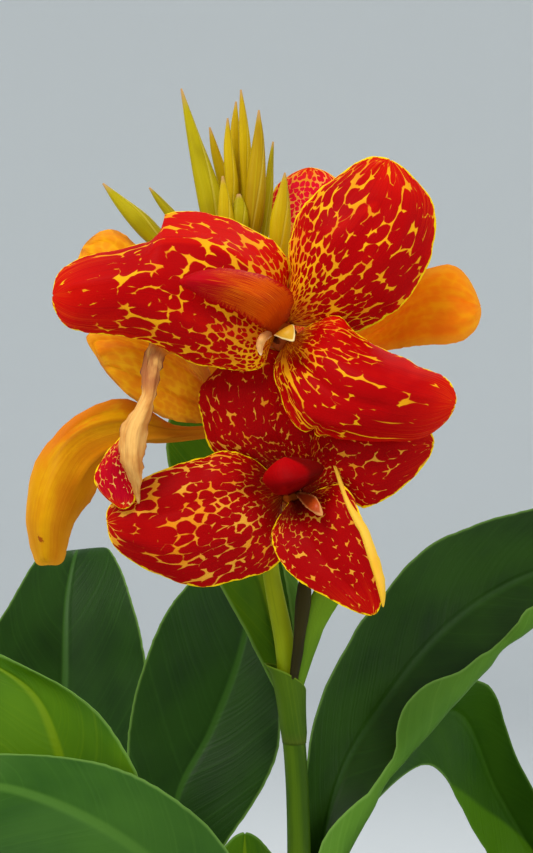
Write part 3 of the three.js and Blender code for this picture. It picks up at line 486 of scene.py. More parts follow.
class Shader:
    """A material's node tree, built call by call."""

    def __init__(self, name, roughness=0.5, specular=0.5):
        self.material = bpy.data.materials.new(name)
        self.material.use_nodes = True
        self.tree = self.material.node_tree
        self.skin = self.tree.nodes["Principled BSDF"]
        self.skin.inputs["Roughness"].default_value = roughness
        self.skin.inputs["Specular IOR Level"].default_value = specular

    def node(self, kind, **inputs):
        """A node, with its inputs given by name: a socket is linked, anything else is set."""
        made = self.tree.nodes.new(kind)
        for name, value in inputs.items():
            socket = made.inputs[int(name[1:]) if name[1:].isdigit() else name.replace("_", " ")]
            self.feed(socket, value)
        return made

    def feed(self, socket, value):
        if isinstance(value, bpy.types.NodeSocket):
            self.tree.links.new(value, socket)
        else:
            socket.default_value = value

    def uv(self, name):
        made = self.tree.nodes.new("ShaderNodeUVMap")
        made.uv_map = name
        return made.outputs["UV"]

    def object_place(self):
        return self.tree.nodes.new("ShaderNodeTexCoord").outputs["Object"]

    def split(self, vector):
        return tuple(self.node("ShaderNodeSeparateXYZ", _0=vector).outputs)

    def on_piece(self):
        """The grain map, how far along the piece a point lies, and how far from its margin or round it."""
        along, edge, _ = self.split(self.uv("Place"))
        return self.uv("Grain"), along, edge

    def across(self):
        """Where a point lies across the blade: -1 at its left margin, 1 at its right one."""
        return self.split(self.uv("Side"))[0]

    def join(self, x, y, z=0.0):
        return self.node("ShaderNodeCombineXYZ", _0=x, _1=y, _2=z).outputs[0]

    def maths(self, operation, a, b=0.0, c=0.0, clamp=False):
        made = self.node("ShaderNodeMath", _0=a, _1=b, _2=c)
        made.operation = operation
        made.use_clamp = clamp
        return made.outputs[0]

    def times(self, a, b):
        return self.maths("MULTIPLY", a, b)

    def plus(self, a, b):
        return self.maths("ADD", a, b)

    def minus(self, a, b, clamp=False):
        return self.maths("SUBTRACT", a, b, clamp=clamp)

    def most(self, a, b):
        return self.maths("MAXIMUM", a, b)

    def size(self, a):
        return self.maths("ABSOLUTE", a)

    def step(self, value, low, high):
        """0 where value is under low, 1 over high, and smooth between them; low may be the larger."""
        made = self.node("ShaderNodeMapRange", _0=value, _1=low, _2=high, _3=0.0, _4=1.0)
        made.interpolation_type = "SMOOTHSTEP"
        return made.outputs[0]

    def scaled(self, value, low, high, to_low, to_high):
        return self.node("ShaderNodeMapRange", _0=value, _1=low, _2=high, _3=to_low, _4=to_high).outputs[0]

    def mix(self, share, a, b):
        made = self.tree.nodes.new("ShaderNodeMix")
        made.data_type = "RGBA"
        for socket, value in ((made.inputs[0], share), (made.inputs[6], a), (made.inputs[7], b)):
            self.feed(socket, value)
        return made.outputs[2]

    def over(self, base, tint, share, *more):
        """The base with a tint laid over it, as strongly as the product of the shares."""
        for factor in more:
            share = self.times(share, factor)
        return self.mix(share, base, tint)

    def noise(self, vector, scale, detail=2.0, out="Fac"):
        return self.node("ShaderNodeTexNoise", Vector=vector, Scale=scale, Detail=detail).outputs[out]

    def stretch(self, vector, x, y, z=1.0, shift=0.0):
        made = self.node("ShaderNodeMapping", Vector=vector)
        made.inputs["Scale"].default_value = (x, y, z)
        made.inputs["Location"].default_value = (shift, shift * 0.7, shift * 0.3)
        return made.outputs[0]

    def streaks(self, vector, x, y, detail, shift=0.0):
        """Noise that is the longer in a direction, the smaller its number is."""
        return self.noise(self.stretch(vector, x, y, shift=shift), 1.0, detail)

    def vectors(self, operation, a, b=(0.0, 0.0, 0.0)):
        made = self.node("ShaderNodeVectorMath", _0=a, _1=b)
        made.operation = operation
        return made.outputs

    def add(self, a, b):
        return self.vectors("ADD", a, b)[0]

    def blend(self, share, a, b):
        """A number between a and b."""
        made = self.tree.nodes.new("ShaderNodeMix")
        for socket, value in ((made.inputs[0], share), (made.inputs[2], a), (made.inputs[3], b)):
            self.feed(socket, value)
        return made.outputs[0]

    def jitter(self, vector, size):
        """A smooth random offset in the plane, of up to about half the size."""
        wobble = self.noise(vector, 1.0, 1.0, "Color")
        centred = self.vectors("SUBTRACT", wobble, (0.5, 0.5, 0.5))[0]
        return self.vectors("MULTIPLY", centred, (size * 2, size * 2, 0.0))[0]

    def cells(self, vector, feature):
        made = self.tree.nodes.new("ShaderNodeTexVoronoi")
        made.voronoi_dimensions = "2D"
        made.feature = feature
        self.feed(made.inputs["Vector"], vector)
        made.inputs["Scale"].default_value = 1.0
        made.inputs["Randomness"].default_value = 0.78
        return made.outputs["Distance"]

    def bump(self, height, strength, depth):
        made = self.node("ShaderNodeBump", Height=height, Strength=strength, Distance=depth * MM)
        self.feed(self.skin.inputs["Normal"], made.outputs[0])

    def finish(self, base, roughness=None):
        self.feed(self.skin.inputs["Base Color"], base)
        if roughness is not None:
            self.feed(self.skin.inputs["Roughness"], roughness)
        return self.material


# ---- petal, leaf and stem materials ----

DEEP_RED = colour(176, 0, 2)
# The second red is the lighter red that painted light gives the petals' tips, margins and turned flaps.
LIT_RED = colour(208, 14, 1)
GOLD = colour(248, 176, 16)
AMBER = colour(232, 138, 20)
ORANGE = colour(232, 140, 6)
YELLOW = colour(250, 210, 10)


def speckled(
    name, yellow, seed, lines=0.5, stripes=0.0, lean=0.0, ridge=0.0, far=(0.5, 0.95), rim=0.0, rimless=False,
    painted_glow=1.0, shadow=0.0, red=DEEP_RED, bright=LIT_RED, gold=GOLD,
):
    """A red face whose rounded red patches leave star-shaped yellow gaps between them.

    yellow is how much of it is yellow at its base, middle and tip, from 0 to 1. lines is how far thin
    yellow lines join the stars, stripes how strongly the base is striped along the blade, and lean how much
    more yellow the left side has than the right one. far is where the tip's share of yellow takes over.
    Beyond a ridge, at that share of the right half, the blade is turned to the light, and painted light makes
    it a brighter red with fewer yellow specks there. rim is how much wider than usual its yellow margin is,
    in millimetres, and a rimless blade has none along the middle of its right margin. painted_glow is how
    strongly painted light brightens its tip and margins, and shadow how strongly painted shade darkens its
    base.
    """
    s = Shader(name, roughness=0.55, specular=0.05)
    cells, across = s.uv("Cells"), s.across()
    grain, along, edge = s.on_piece()
    slow = s.jitter(s.stretch(cells, 0.5, 0.5, shift=seed), 0.5)
    quick = s.jitter(s.stretch(cells, 1.9, 1.9, shift=seed + 4), 0.12)
    bent = s.add(s.add(s.stretch(cells, 1.0, 1.0, shift=seed), slow), quick)
    star, line = s.cells(bent, "F1"), s.cells(bent, "DISTANCE_TO_EDGE")
    patch = s.streaks(cells, 0.4, 0.4, 2.0, shift=seed + 9)
    near, ending = s.step(along, 0.12, 0.45), s.step(along, *far)
    amount = s.blend(ending, s.blend(near, yellow[0], yellow[1]), yellow[2])
    amount = s.plus(amount, s.scaled(patch, 0.3, 0.7, -0.16, 0.16))
    amount = s.minus(amount, s.times(across, lean), clamp=True)
    beyond = 0.0
    if ridge:
        inner = s.step(along, 0.72, 0.5)
        beyond = s.times(s.step(across, ridge, ridge + 0.06), inner)
        crest = s.step(s.size(s.minus(across, ridge - 0.02)), 0.09, 0.02)
        amount = s.plus(amount, s.times(crest, s.times(inner, 0.16)))
        amount = s.minus(amount, s.times(beyond, 0.06), clamp=True)
    gap = s.minus(star, s.scaled(amount, 0.0, 1.0, 0.8, 0.36))
    broken = s.streaks(cells, 0.9, 0.9, 1.0, shift=seed + 2)
    joining = s.scaled(broken, 0.3, 0.7, lines * 0.2 - 0.14, lines * 0.2 + 0.14)
    width = s.plus(s.scaled(amount, 0.0, 1.0, -0.2, 0.08), joining)
    field = s.maths("SMOOTH_MAX", gap, s.minus(width, line), 0.15)
    hot = s.step(field, -0.035, 0.035)
    if stripes:
        stripe = s.streaks(bent, 0.2, 1.3, 1.0, shift=seed + 7)
        limit = s.plus(s.scaled(along, 0.08, 0.42, 0.53, 0.68), s.scaled(across, -0.1, 0.6, 0.14, 0.0))
        striped = s.step(s.minus(stripe, limit), -0.015, 0.015)
        hot = s.most(s.times(striped, stripes), hot)
    fibre = s.streaks(grain, 0.04, 2.2, 3.0, shift=seed)
    cloud = s.streaks(grain, 0.07, 0.1, 2.0, shift=seed + 5)
    # painted light brightens the tip, the margins and a flap turned to the light; random lighter patches are
    # the petal's own
    painted_light = s.most(s.times(s.step(along, 0.66, 0.96), painted_glow), s.times(s.step(cloud, 0.5, 0.8), 0.7 * painted_glow))
    painted_light = s.most(painted_light, s.times(s.step(edge, 3.2, 0.3), 0.5 * painted_glow))
    painted_light = s.most(painted_light, s.times(beyond, 0.85))
    skin = s.mix(painted_light, red, bright)
    skin = s.over(skin, colour(132, 0, 10), s.step(fibre, 0.52, 0.75), 0.3)
    streak = s.times(s.step(fibre, 0.5, 0.38), s.times(s.step(edge, 9.0, 1.5), s.step(along, 0.6, 0.85)))
    skin = s.over(skin, colour(228, 74, 6), streak, 0.55 * painted_glow)
    warm = s.mix(s.step(cloud, 0.35, 0.7), gold, AMBER)
    base = s.mix(hot, skin, warm)
    throat = s.times(s.step(along, 0.14, 0.04), s.step(fibre, 0.45, 0.6))
    # painted shade: shadow dims the amber throat lines and darkens the base, where the throat lies in shade
    base = s.over(base, AMBER, throat, 1.0 - shadow)
    if shadow:
        base = s.over(base, colour(104, 10, 2), s.step(along, 0.24, 0.08), shadow)
    ragged = s.streaks(grain, 0.45, 0.45, 2.0, shift=seed)
    border = s.step(s.minus(edge, s.scaled(ragged, 0.35, 0.68, rim - 0.1, rim + 0.75)), 0.16, -0.12)
    if rimless:
        bare = s.times(s.step(along, 0.47, 0.54), s.step(along, 0.92, 0.84))
        border = s.times(border, s.minus(1.0, s.times(s.step(across, 0.1, 0.3), bare)))
    base = s.over(base, YELLOW, border)
    s.bump(s.plus(fibre, s.times(hot, 0.12)), 0.3, 0.3)
    return s.finish(base)


def petal_back(
    name, seed, main=ORANGE, blush=colour(196, 74, 12), blotch=0.5, net=0.3, painted_shade=0.0, scar=0.0, spot=None,
    flush=0.0, rim=colour(236, 158, 40),
):
    """The plain orange underside of a petal, with long veins and a faint blush.

    painted_shade is how much darker its right half is painted, as painted shade, scar how strongly its margin
    is dried, and flush how red its left margin is over its nearer half. spot is where a dark mark lies, in
    millimetres along and across.
    """
    s = Shader(name, roughness=0.55, specular=0.08)
    grain, along, edge = s.on_piece()
    across = s.across()
    vein = s.streaks(grain, 0.03, 1.1, 4.0, shift=seed)
    cloud = s.streaks(grain, 0.06, 0.11, 3.0, shift=seed + 2)
    cells = s.stretch(s.uv("Cells"), 1.5, 1.5, shift=seed)
    spots = s.cells(s.add(cells, s.jitter(s.stretch(cells, 1.2, 1.2), 0.3)), "F1")
    base = s.mix(s.times(s.step(cloud, 0.42, 0.72), blotch), main, blush)
    base = s.over(base, blush, s.step(spots, 0.75, 0.2), net)
    # painted shade: the right half is darkened towards the blush colour
    if painted_shade:
        base = s.over(base, blush, s.step(across, -0.15, 0.45), painted_shade)
    if scar:
        dry = s.times(s.step(edge, 2.2, 0.5), s.step(s.streaks(grain, 0.16, 0.16, 3.0), 0.46, 0.54))
        base = s.over(base, colour(150, 44, 14), dry, scar)
    base = s.over(base, blush, s.step(vein, 0.52, 0.72), 0.25)
    base = s.over(base, rim, s.step(edge, 4.0, 0.2), 0.5)
    if flush:
        ragged = s.streaks(grain, 0.12, 0.3, 3.0, shift=seed)
        side = s.plus(across, s.scaled(ragged, 0.3, 0.7, -0.3, 0.3))
        red = s.times(s.step(side, -0.42, -0.72), s.step(along, 0.66, 0.5))
        base = s.over(base, colour(216, 62, 2), red, flush)
        # painted shade: a darker line along the crease near the left margin, on the nearer part of the blade
        fold = s.step(s.size(s.plus(across, 0.42)), 0.1, 0.0)
        base = s.over(base, colour(170, 92, 0), fold, s.step(along, 0.6, 0.45), 0.6)
    base = s.over(base, colour(214, 150, 40), s.step(along, 0.3, 0.0), 0.4)
    if spot:
        x, y, _ = s.split(grain)
        down, out = s.minus(x, spot[0]), s.minus(y, spot[1])
        away = s.vectors("LENGTH", s.join(s.plus(down, out), s.times(s.minus(out, down), 2.0)))["Value"]
        ragged = s.plus(away, s.scaled(s.noise(grain, 1.5, 2.0), 0.3, 0.7, -0.8, 0.8))
        base = s.over(base, colour(150, 48, 4), s.step(ragged, 2.6, 1.5), 0.85)
    s.bump(vein, 0.4, 0.4)
    return s.finish(base)


def labellum_material():
    """Orange at the throat, crimson at the tip, with hair-fine lines where one runs into the other."""
    s = Shader("labellum", roughness=0.55, specular=0.05)
    grain, along, edge = s.on_piece()
    hair = s.streaks(grain, 0.12, 5.2, 2.0)
    turn = s.plus(along, s.scaled(hair, 0.3, 0.7, -0.3, 0.3))
    base = s.mix(s.step(turn, 0.42, 0.66), colour(210, 78, 0), colour(184, 0, 16))
    base = s.over(base, colour(176, 26, 2), s.step(hair, 0.5, 0.66), s.step(along, 0.85, 0.5))
    base = s.over(base, colour(232, 118, 14), s.step(hair, 0.44, 0.32), s.step(along, 0.8, 0.4))
    base = s.over(base, colour(200, 64, 2), s.step(along, 0.4, 0.12), 0.6)
    tuft = s.streaks(grain, 2.2, 0.25, 2.0)
    inside = s.step(s.plus(edge, s.scaled(tuft, 0.3, 0.7, -2.2, 2.2)), 1.0, 3.2)
    base = s.mix(inside, s.mix(s.step(along, 0.12, 0.34), colour(168, 50, 0), colour(178, 0, 6)), base)
    s.bump(hair, 0.2, 0.2)
    return s.finish(base)


def style_material(name, main, side, rim=colour(240, 200, 120), border=0.7):
    """A pale style or anther, whiter along its edges."""
    s = Shader(name, roughness=0.45, specular=0.3)
    grain, _, edge = s.on_piece()
    fibre = s.streaks(grain, 0.15, 1.4, 2.0)
    base = s.mix(s.times(fibre, 0.4), main, side)
    base = s.over(base, rim, s.step(edge, border, 0.36 * border))
    s.bump(fibre, 0.3, 0.2)
    return s.finish(base)


def stamen_material():
    """Plain deep red with fine fibres, and painted shade that darkens its lower part and its right side."""
    s = Shader("stamen_red", roughness=0.6, specular=0.04)
    grain, along, edge = s.on_piece()
    fibre = s.streaks(grain, 0.1, 1.6, 3.0)
    cloud = s.streaks(grain, 0.12, 0.12, 2.0, shift=6)
    # painted shade: darker towards the foot, lighter towards the top
    base = s.mix(s.step(along, 0.35, 0.9), colour(128, 0, 2), colour(174, 0, 4))
    base = s.over(base, colour(188, 10, 10), s.step(cloud, 0.45, 0.7), 0.3)
    base = s.over(base, colour(136, 0, 10), s.step(fibre, 0.5, 0.75), 0.35)
    base = s.over(base, colour(206, 50, 20), s.step(edge, 0.5, 0.1), 0.3)
    # painted shade: a dark band along the right side
    base = s.over(base, colour(86, 4, 0), s.step(s.across(), 0.42, 0.62), 0.8)
    s.bump(fibre, 0.3, 0.3)
    return s.finish(base)


def withered_material():
    """A dry tan petal, streaked brown, with a dark edge where it shrivelled."""
    s = Shader("withered", roughness=0.65, specular=0.2)
    grain, along, edge = s.on_piece()
    fibre = s.streaks(grain, 0.07, 1.5, 4.0)
    cloud = s.streaks(grain, 0.12, 0.2, 3.0, shift=4)
    base = s.mix(s.step(cloud, 0.35, 0.7), colour(244, 186, 100), colour(216, 142, 62))
    base = s.over(base, colour(170, 104, 56), s.step(fibre, 0.5, 0.75), 0.5)
    base = s.over(base, colour(120, 60, 40), s.step(edge, 0.6, 0.1), s.step(cloud, 0.5, 0.6))
    base = s.over(base, colour(182, 108, 56), s.step(along, 0.52, 0.4), s.step(cloud, 0.3, 0.6))
    dark = s.times(s.step(edge, 0.9, 0.3), s.step(along, 0.6, 0.5))
    base = s.over(base, colour(112, 34, 26), dark, 0.8)
    base = s.over(base, colour(232, 140, 20), s.step(along, 0.3, 0.24))
    s.bump(fibre, 0.7, 0.6)
    return s.finish(base)


def leaf_material(
    name, dark, light, vein, rim=colour(112, 150, 64), side_gap=2.6, roughness=0.45, rib=0.7, fold=None
):
    """A waxy leaf: a pale midrib, side veins that leave it steeply and run parallel, and a thin pale margin.

    fold is the colour of its right half where that is bent up, from the middle of the blade on.
    """
    s = Shader(name, roughness=roughness, specular=0.14)
    grain, along, edge = s.on_piece()
    x, y, _ = s.split(grain)
    out = s.size(y)
    # the veins' own course: across the blade they run ever more towards the tip
    course = s.minus(x, s.times(s.maths("POWER", out, 1.25), 0.62))
    jitter = s.streaks(grain, 0.02, 0.05, 2.0)
    course = s.plus(course, s.times(jitter, 5.0))
    lane = s.join(s.times(course, 1 / side_gap), s.times(out, 0.01))
    fine = s.noise(lane, 1.0, 3.0)
    broad = s.streaks(lane, 0.18, 1.0, 2.0)
    cloud = s.streaks(grain, 0.02, 0.03, 3.0)
    base = s.mix(s.step(cloud, 0.3, 0.7), dark, light)
    base = s.over(base, light, s.step(broad, 0.35, 0.7), 0.35)
    base = s.over(base, vein, s.step(fine, 0.52, 0.68), 0.18)
    midrib = s.step(out, 2.2, 0.7)
    base = s.over(base, vein, midrib, rib)
    base = s.over(base, rim, s.step(edge, 1.2, 0.2), 0.7)
    if fold:
        past = s.minus(s.across(), s.scaled(along, 0.47, 0.72, 1.0, -0.15))
        base = s.over(base, fold, s.step(past, -0.02, 0.1), 0.8)
    lift = s.plus(fine, s.times(s.step(out, 3.5, 0.5), -1.2))
    s.bump(lift, 0.28, 0.7)
    return s.finish(base, s.scaled(cloud, 0.3, 0.7, roughness - 0.05, roughness + 0.08))


def stem_material(name, pale, deep, joint=0.0):
    """A smooth stem with fine lines along it and, where joint is set, darker scars round it."""
    s = Shader(name, roughness=0.5, specular=0.12)
    grain = s.uv("Grain")
    line = s.streaks(grain, 0.02, 1.3, 3.0)
    cloud = s.streaks(grain, 0.03, 0.1, 2.0, shift=2)
    base = s.mix(s.step(cloud, 0.3, 0.7), pale, deep)
    base = s.over(base, deep, s.step(line, 0.5, 0.7), 0.35)
    if joint:
        ring = s.maths("PINGPONG", s.plus(s.split(grain)[0], s.times(cloud, 6.0)), joint)
        base = s.over(base, colour(96, 88, 40), s.step(ring, 1.6, 0.5), 0.6)
    s.bump(line, 0.3, 0.3)
    return s.finish(base)


def bud_material(name, foot, body, tone):
    """A yellow-green bud, darker at its foot, with pale sepal edges that wind up it and a dry tip."""
    s = Shader(name, roughness=0.5, specular=0.1)
    grain, along, turn = s.on_piece()
    line = s.streaks(grain, 0.03, 1.6, 3.0)
    cloud = s.streaks(grain, 0.05, 0.12, 2.0, shift=1)
    base = s.mix(s.step(along, 0.0, 0.45), foot, body)
    base = s.over(base, tone, s.step(cloud, 0.4, 0.7), 0.6)
    base = s.over(base, colour(206, 190, 24), s.step(line, 0.5, 0.7), 0.35)
    seam = s.maths("PINGPONG", s.plus(turn, s.times(along, 0.3)), 1 / 6)
    pale = s.step(seam, 0.02, 0.006)
    base = s.over(base, colour(226, 206, 90), pale, 0.32)
    base = s.over(base, colour(196, 150, 90), s.step(along, 0.9, 1.0))
    s.bump(s.minus(line, s.times(s.step(seam, 0.03, 0.01), 0.8)), 0.4, 0.4)
    return s.finish(base)


def clay_material():
    """Fired clay: thrown rings, a fine grain, pale salt bloom, and darker towards its foot."""
    s = Shader("terracotta", roughness=0.85, specular=0.25)
    place = s.object_place()
    _, _, height = s.split(place)
    grain = s.noise(place, 900.0, 4.0)
    cloud = s.noise(place, 14.0, 4.0)
    rings = s.noise(s.stretch(place, 2.0, 2.0, 260.0), 1.0, 2.0)
    base = s.mix(s.step(cloud, 0.3, 0.7), colour(172, 92, 60), colour(192, 112, 78))
    base = s.over(base, colour(140, 74, 50), s.step(grain, 0.5, 0.75), 0.3)
    bloom = s.times(s.step(s.noise(place, 16.0, 6.0), 0.48, 0.8), s.step(height, 0.02, 0.2))
    base = s.over(base, colour(214, 186, 168), bloom, 0.45)
    base = s.over(base, colour(120, 66, 46), s.step(height, 0.05, 0.0), 0.35)
    s.bump(s.plus(s.times(grain, 0.4), rings), 0.5, 0.7)
    return s.finish(base)


def soil_material():
    """Dark, crumbly potting soil."""
    s = Shader("potting_soil", roughness=0.95, specular=0.2)
    place = s.object_place()
    crumbs = s.noise(place, 260.0, 6.0)
    clods = s.noise(place, 60.0, 3.0)
    base = s.mix(s.step(crumbs, 0.35, 0.65), colour(38, 26, 18), colour(74, 52, 36))
    base = s.over(base, colour(98, 72, 50), s.step(clods, 0.55, 0.7), 0.4)
    s.bump(crumbs, 0.9, 2.0)
    return s.finish(base)


# ---- blades: petals and leaves ----


def curve(points, t):
    """Points of the smooth line through the given points, at shares t of its run from first to last."""
    p = np.asarray(points, float)
    last = len(p) - 1
    x = np.clip(t, 0, 1) * last
    i = np.minimum(x.astype(int), last - 1)
    w = (x - i)[:, None]
    wide = np.vstack([2 * p[0] - p[1], p, 2 * p[-1] - p[-2]])
    a, b, c, d = wide[i], wide[i + 1], wide[i + 2], wide[i + 3]
    m, n = (c - a) / 2, (d - b) / 2
    return (2 * b - 2 * c + m + n) * w**3 + (3 * c - 3 * b - 2 * m - n) * w**2 + m * w + b


def unit(v):
    return v / np.maximum(np.linalg.norm(v, axis=-1, keepdims=True), 1e-9)


def blade_surface(blade, u, s, crease):
    """The blade's middle surface: rows u from base to tip, columns s from -1 (left) to 1 (right)."""
    stations = blade["stations"]
    edge = [row[0] for row in stations] + [blade["tip"]] + [row[2] for row in reversed(stations)]
    middle = [row[1] for row in stations] + [blade["tip"]]
    left, right, mid = curve(edge, u / 2), curve(edge, 1 - u / 2), curve(middle, u)

    def flat(share):
        side, other = (left, right) if share < 0 else (right, left)
        t = abs(share)
        rounded = side * t * (t + 1) / 2 + other * t * (t - 1) / 2 + mid * (1 - t * t)
        return rounded * (1 - crease) + (mid * (1 - t) + side * t) * crease

    roll = blade.get("roll", (0, 0))
    along = unit(np.gradient(mid, axis=0))
    columns = []
    for share in s:
        angle, sign = (roll[0], -1) if share < 0 else (roll[1], 1)
        first = blade.get("start", ROLL_FROM)
        if angle == 0 or abs(share) <= first:
            columns.append(flat(share))
            continue
        start = flat(sign * first)
        outward = flat(sign) - start
        width = np.linalg.norm(outward, axis=1, keepdims=True)
        for at, change, far in blade.get("flaps", ()):
            width = width * (1 + change * np.exp(-(((u - at) / far) ** 2)))[:, None]
        outward = unit(outward)
        up = unit(np.cross(outward, along) * sign)
        radius = np.minimum(width / angle, blade.get("tight", math.inf))
        reach = width * (abs(share) - first) / (1 - first)
        turned = np.minimum(reach / radius, angle)
        flat_part = np.maximum(reach - radius * angle, 0)
        bent = start + outward * radius * np.sin(turned) + up * radius * (1 - np.cos(turned))
        columns.append(bent + outward * flat_part * math.cos(angle) + up * flat_part * math.sin(angle))
    return np.stack(columns, axis=1)


def wave(x, seed):
    """A gentle irregular wave of height about 1."""
    return 0.6 * np.sin(x + seed) + 0.3 * np.sin(1.73 * x + 2.1 * seed) + 0.2 * np.sin(2.9 * x + 4.3 * seed)


def shell_faces(rows, columns):
    """Outer, inner and rim faces of a thin shell whose outer grid of points comes before its inner one."""
    grid = np.arange(rows * columns).reshape(rows, columns)
    outer = np.stack([grid[:-1, :-1], grid[:-1, 1:], grid[1:, 1:], grid[1:, :-1]], axis=-1).reshape(-1, 4)
    inner = outer[:, ::-1] + rows * columns
    loop = np.concatenate([grid[0, :], grid[1:, -1], grid[-1, -2::-1], grid[-2:0:-1, 0]])
    after = np.roll(loop, -1)
    return outer, inner, np.stack([after, loop, loop + rows * columns, after + rows * columns], axis=-1)


def run_of(points):
    """The distance along a line of points, from the first to each of them."""
    return np.concatenate([[0], np.cumsum(np.linalg.norm(np.diff(points, axis=0), axis=1))])


def blade_mesh(name, blade, grid, thick, crease, seed, materials, origin):
    """A blade as a closed mesh, with a material each for its upper face, its underside and its rim."""
    rows, columns = grid
    u = BLADE_END * (1 - (1 - np.linspace(0, 1, rows)) ** 1.6)
    s = np.sin(np.linspace(-1, 1, columns) * math.pi / 2)
    p = blade_surface(blade, u, s, crease)
    run = run_of(p[:, columns // 2])
    steps = np.linalg.norm(np.diff(p, axis=1), axis=2)
    across = np.concatenate([np.zeros((rows, 1)), np.cumsum(steps, axis=1)], axis=1)
    across = across - across[:, columns // 2 : columns // 2 + 1]
    normal = unit(np.cross(np.gradient(p, axis=1), np.gradient(p, axis=0)))
    # folds run along the blade, and the margins have waves and small nicks; none of them at the base
    fade = (np.clip(u * 5, 0, 1) * (1 - 0.5 * u) * np.clip((1 - u) / 0.08, 0, 1))[:, None]
    for share, height, width, first, last in blade.get("folds", ()):
        window = np.clip((u - first) / 0.12, 0, 1) * np.clip((min(last, 0.97) - u) / 0.12, 0, 1)
        window = window * window * (3 - 2 * window)
        p = p + normal * (height * window[:, None] * np.exp(-np.abs(s[None, :] - share) / width))[:, :, None]
    height, length = blade["ruffle"]
    side = np.sign(s)[None, :]
    swing = wave(run[:, None] / length * 2 * math.pi * 0.7, seed + side * 1.9)
    p = p + normal * (height * fade * np.abs(s[None, :]) ** 3 * swing)[:, :, None]
    nick = wave(run[:, None] * 1.3, seed * 3 + side) * 0.5 + wave(run[:, None] * 3.1, seed + side * 2) * 0.3
    outward = unit(p[:, -1:] - p[:, :1]) * s[None, :, None]
    p = p + outward * (blade.get("nicks", 0.35) * fade * np.abs(s[None, :]) ** 6 * nick)[:, :, None]
    for side, first, last, depth in blade.get("tears", ()):
        cut = np.clip((u - first) / 0.02, 0, 1) * np.clip((last - u) / (last - first - 0.02), 0, 1)
        p = p - outward * (depth * cut[:, None] * np.clip(side * s[None, :], 0, 1) ** 5)[:, :, None]
    normal = unit(np.cross(np.gradient(p, axis=1), np.gradient(p, axis=0)))
    half = thick / 2 * np.sqrt(np.clip(1 - np.abs(s) ** 6, 0.06, 1))[None, :, None]
    # how far each point is from the margin, in millimetres, round the tip too
    reach = np.minimum(across[:, -1:] - across, across - across[:, :1])
    to_tip = np.linalg.norm(p - np.array(blade["tip"], float), axis=2)
    reach = np.minimum(reach, to_tip)
    points = np.concatenate([(p + normal * half).reshape(-1, 3), (p - normal * half).reshape(-1, 3)])
    width = np.abs(s)[None, :] * np.sign(across) * across.max() * 0.5 + across * 0.5
    cell, stretch = blade.get("cells", (5.0, 1.0))
    size = cell * (0.42 + 0.66 * np.clip(u * 1.6, 0, 1))
    patches = np.concatenate([[0], np.cumsum(np.diff(run) / (size[1:] * stretch))])
    # the patches are narrower towards the margins
    lanes = width / size[:, None] * (1 + 0.25 * s[None, :] ** 2)
    maps = {
        "Grain": (run[:, None], width), "Place": (u[:, None], reach), "Cells": (patches[:, None], lanes),
        "Side": (s[None, :], run[:, None]),
    }
    return solid(name, points + origin, shell_faces(rows, columns), maps, p.shape[:2], materials)


def piece_of(name, mesh, materials):
    """An object in the scene that shows a mesh."""
    for material in materials:
        mesh.materials.append(material)
    piece = bpy.data.objects.new(name, mesh)
    bpy.context.collection.objects.link(piece)
    return piece


def drawn_piece(name, drawn, materials):
    """An object in the scene made of a bmesh, which is freed."""
    mesh = bpy.data.meshes.new(name)
    drawn.to_mesh(mesh)
    drawn.free()
    return piece_of(name, mesh, materials)


def solid(name, points, parts, maps, shape, materials):
    """An object made of points, in millimetres, a list of faces for each of its materials, and UV maps.

    The points are one or more grids of the same shape. A map is two numbers for each point of such a grid,
    and either may be given as a single row or column.
    """
    mesh = bpy.data.meshes.new(name)
    mesh.from_pydata((points * MM).tolist(), [], [list(map(int, face)) for faces in parts for face in faces])
    piece = piece_of(name, mesh, materials)
    mesh.polygons.foreach_set("material_index", [kind for kind, faces in enumerate(parts) for _ in faces])
    mesh.polygons.foreach_set("use_smooth", [True] * len(mesh.polygons))
    corner = np.empty(len(mesh.loops), dtype=int)
    mesh.loops.foreach_get("vertex_index", corner)
    for title, (x, y) in maps.items():
        values = np.stack([np.broadcast_to(x, shape), np.broadcast_to(y, shape)], axis=-1).reshape(-1, 2)
        layer = mesh.uv_layers.new(name=title)
        layer.data.foreach_set("uv", values[corner % len(values)].astype(np.float32).ravel())
    return piece


def stand_for(piece, node):
    """Makes a piece take the place of a CAD node."""
    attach(piece, "root")
    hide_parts(node)


def stand_with(piece):
    """Makes a piece that no CAD node has move with the plant."""
    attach(piece, "root")


def arching(numbers):
    """An even leaf that rises from its shoot, turns over and hangs a little at its tip."""
    x, y, z, heading, length, width, steep = numbers
    angle = math.radians(heading)
    out = np.array([math.cos(angle), math.sin(angle), 0])
    right = np.array([math.sin(angle), -math.cos(angle), 0])

    def place(t, s):
        half = width / 2 * math.sin(math.pi * min(t + 0.04, 1) ** 0.8) ** 0.8
        p = np.array([x, y, z]) + out * length * (0.3 * t + 0.42 * t * t) + right * s * half
        p[2] += steep * length * (1.15 * t - 0.72 * t * t) + abs(s) * 0.18 * half
        return tuple(p)

    stations = [[place(t, -1), place(t, 0), place(t, 1)] for t in (0, 0.18, 0.4, 0.62, 0.84)]
    return dict(stations=stations, tip=place(1, 0), ruffle=(2.0, 60))


# ---- round pieces: stems, flower tubes and buds ----


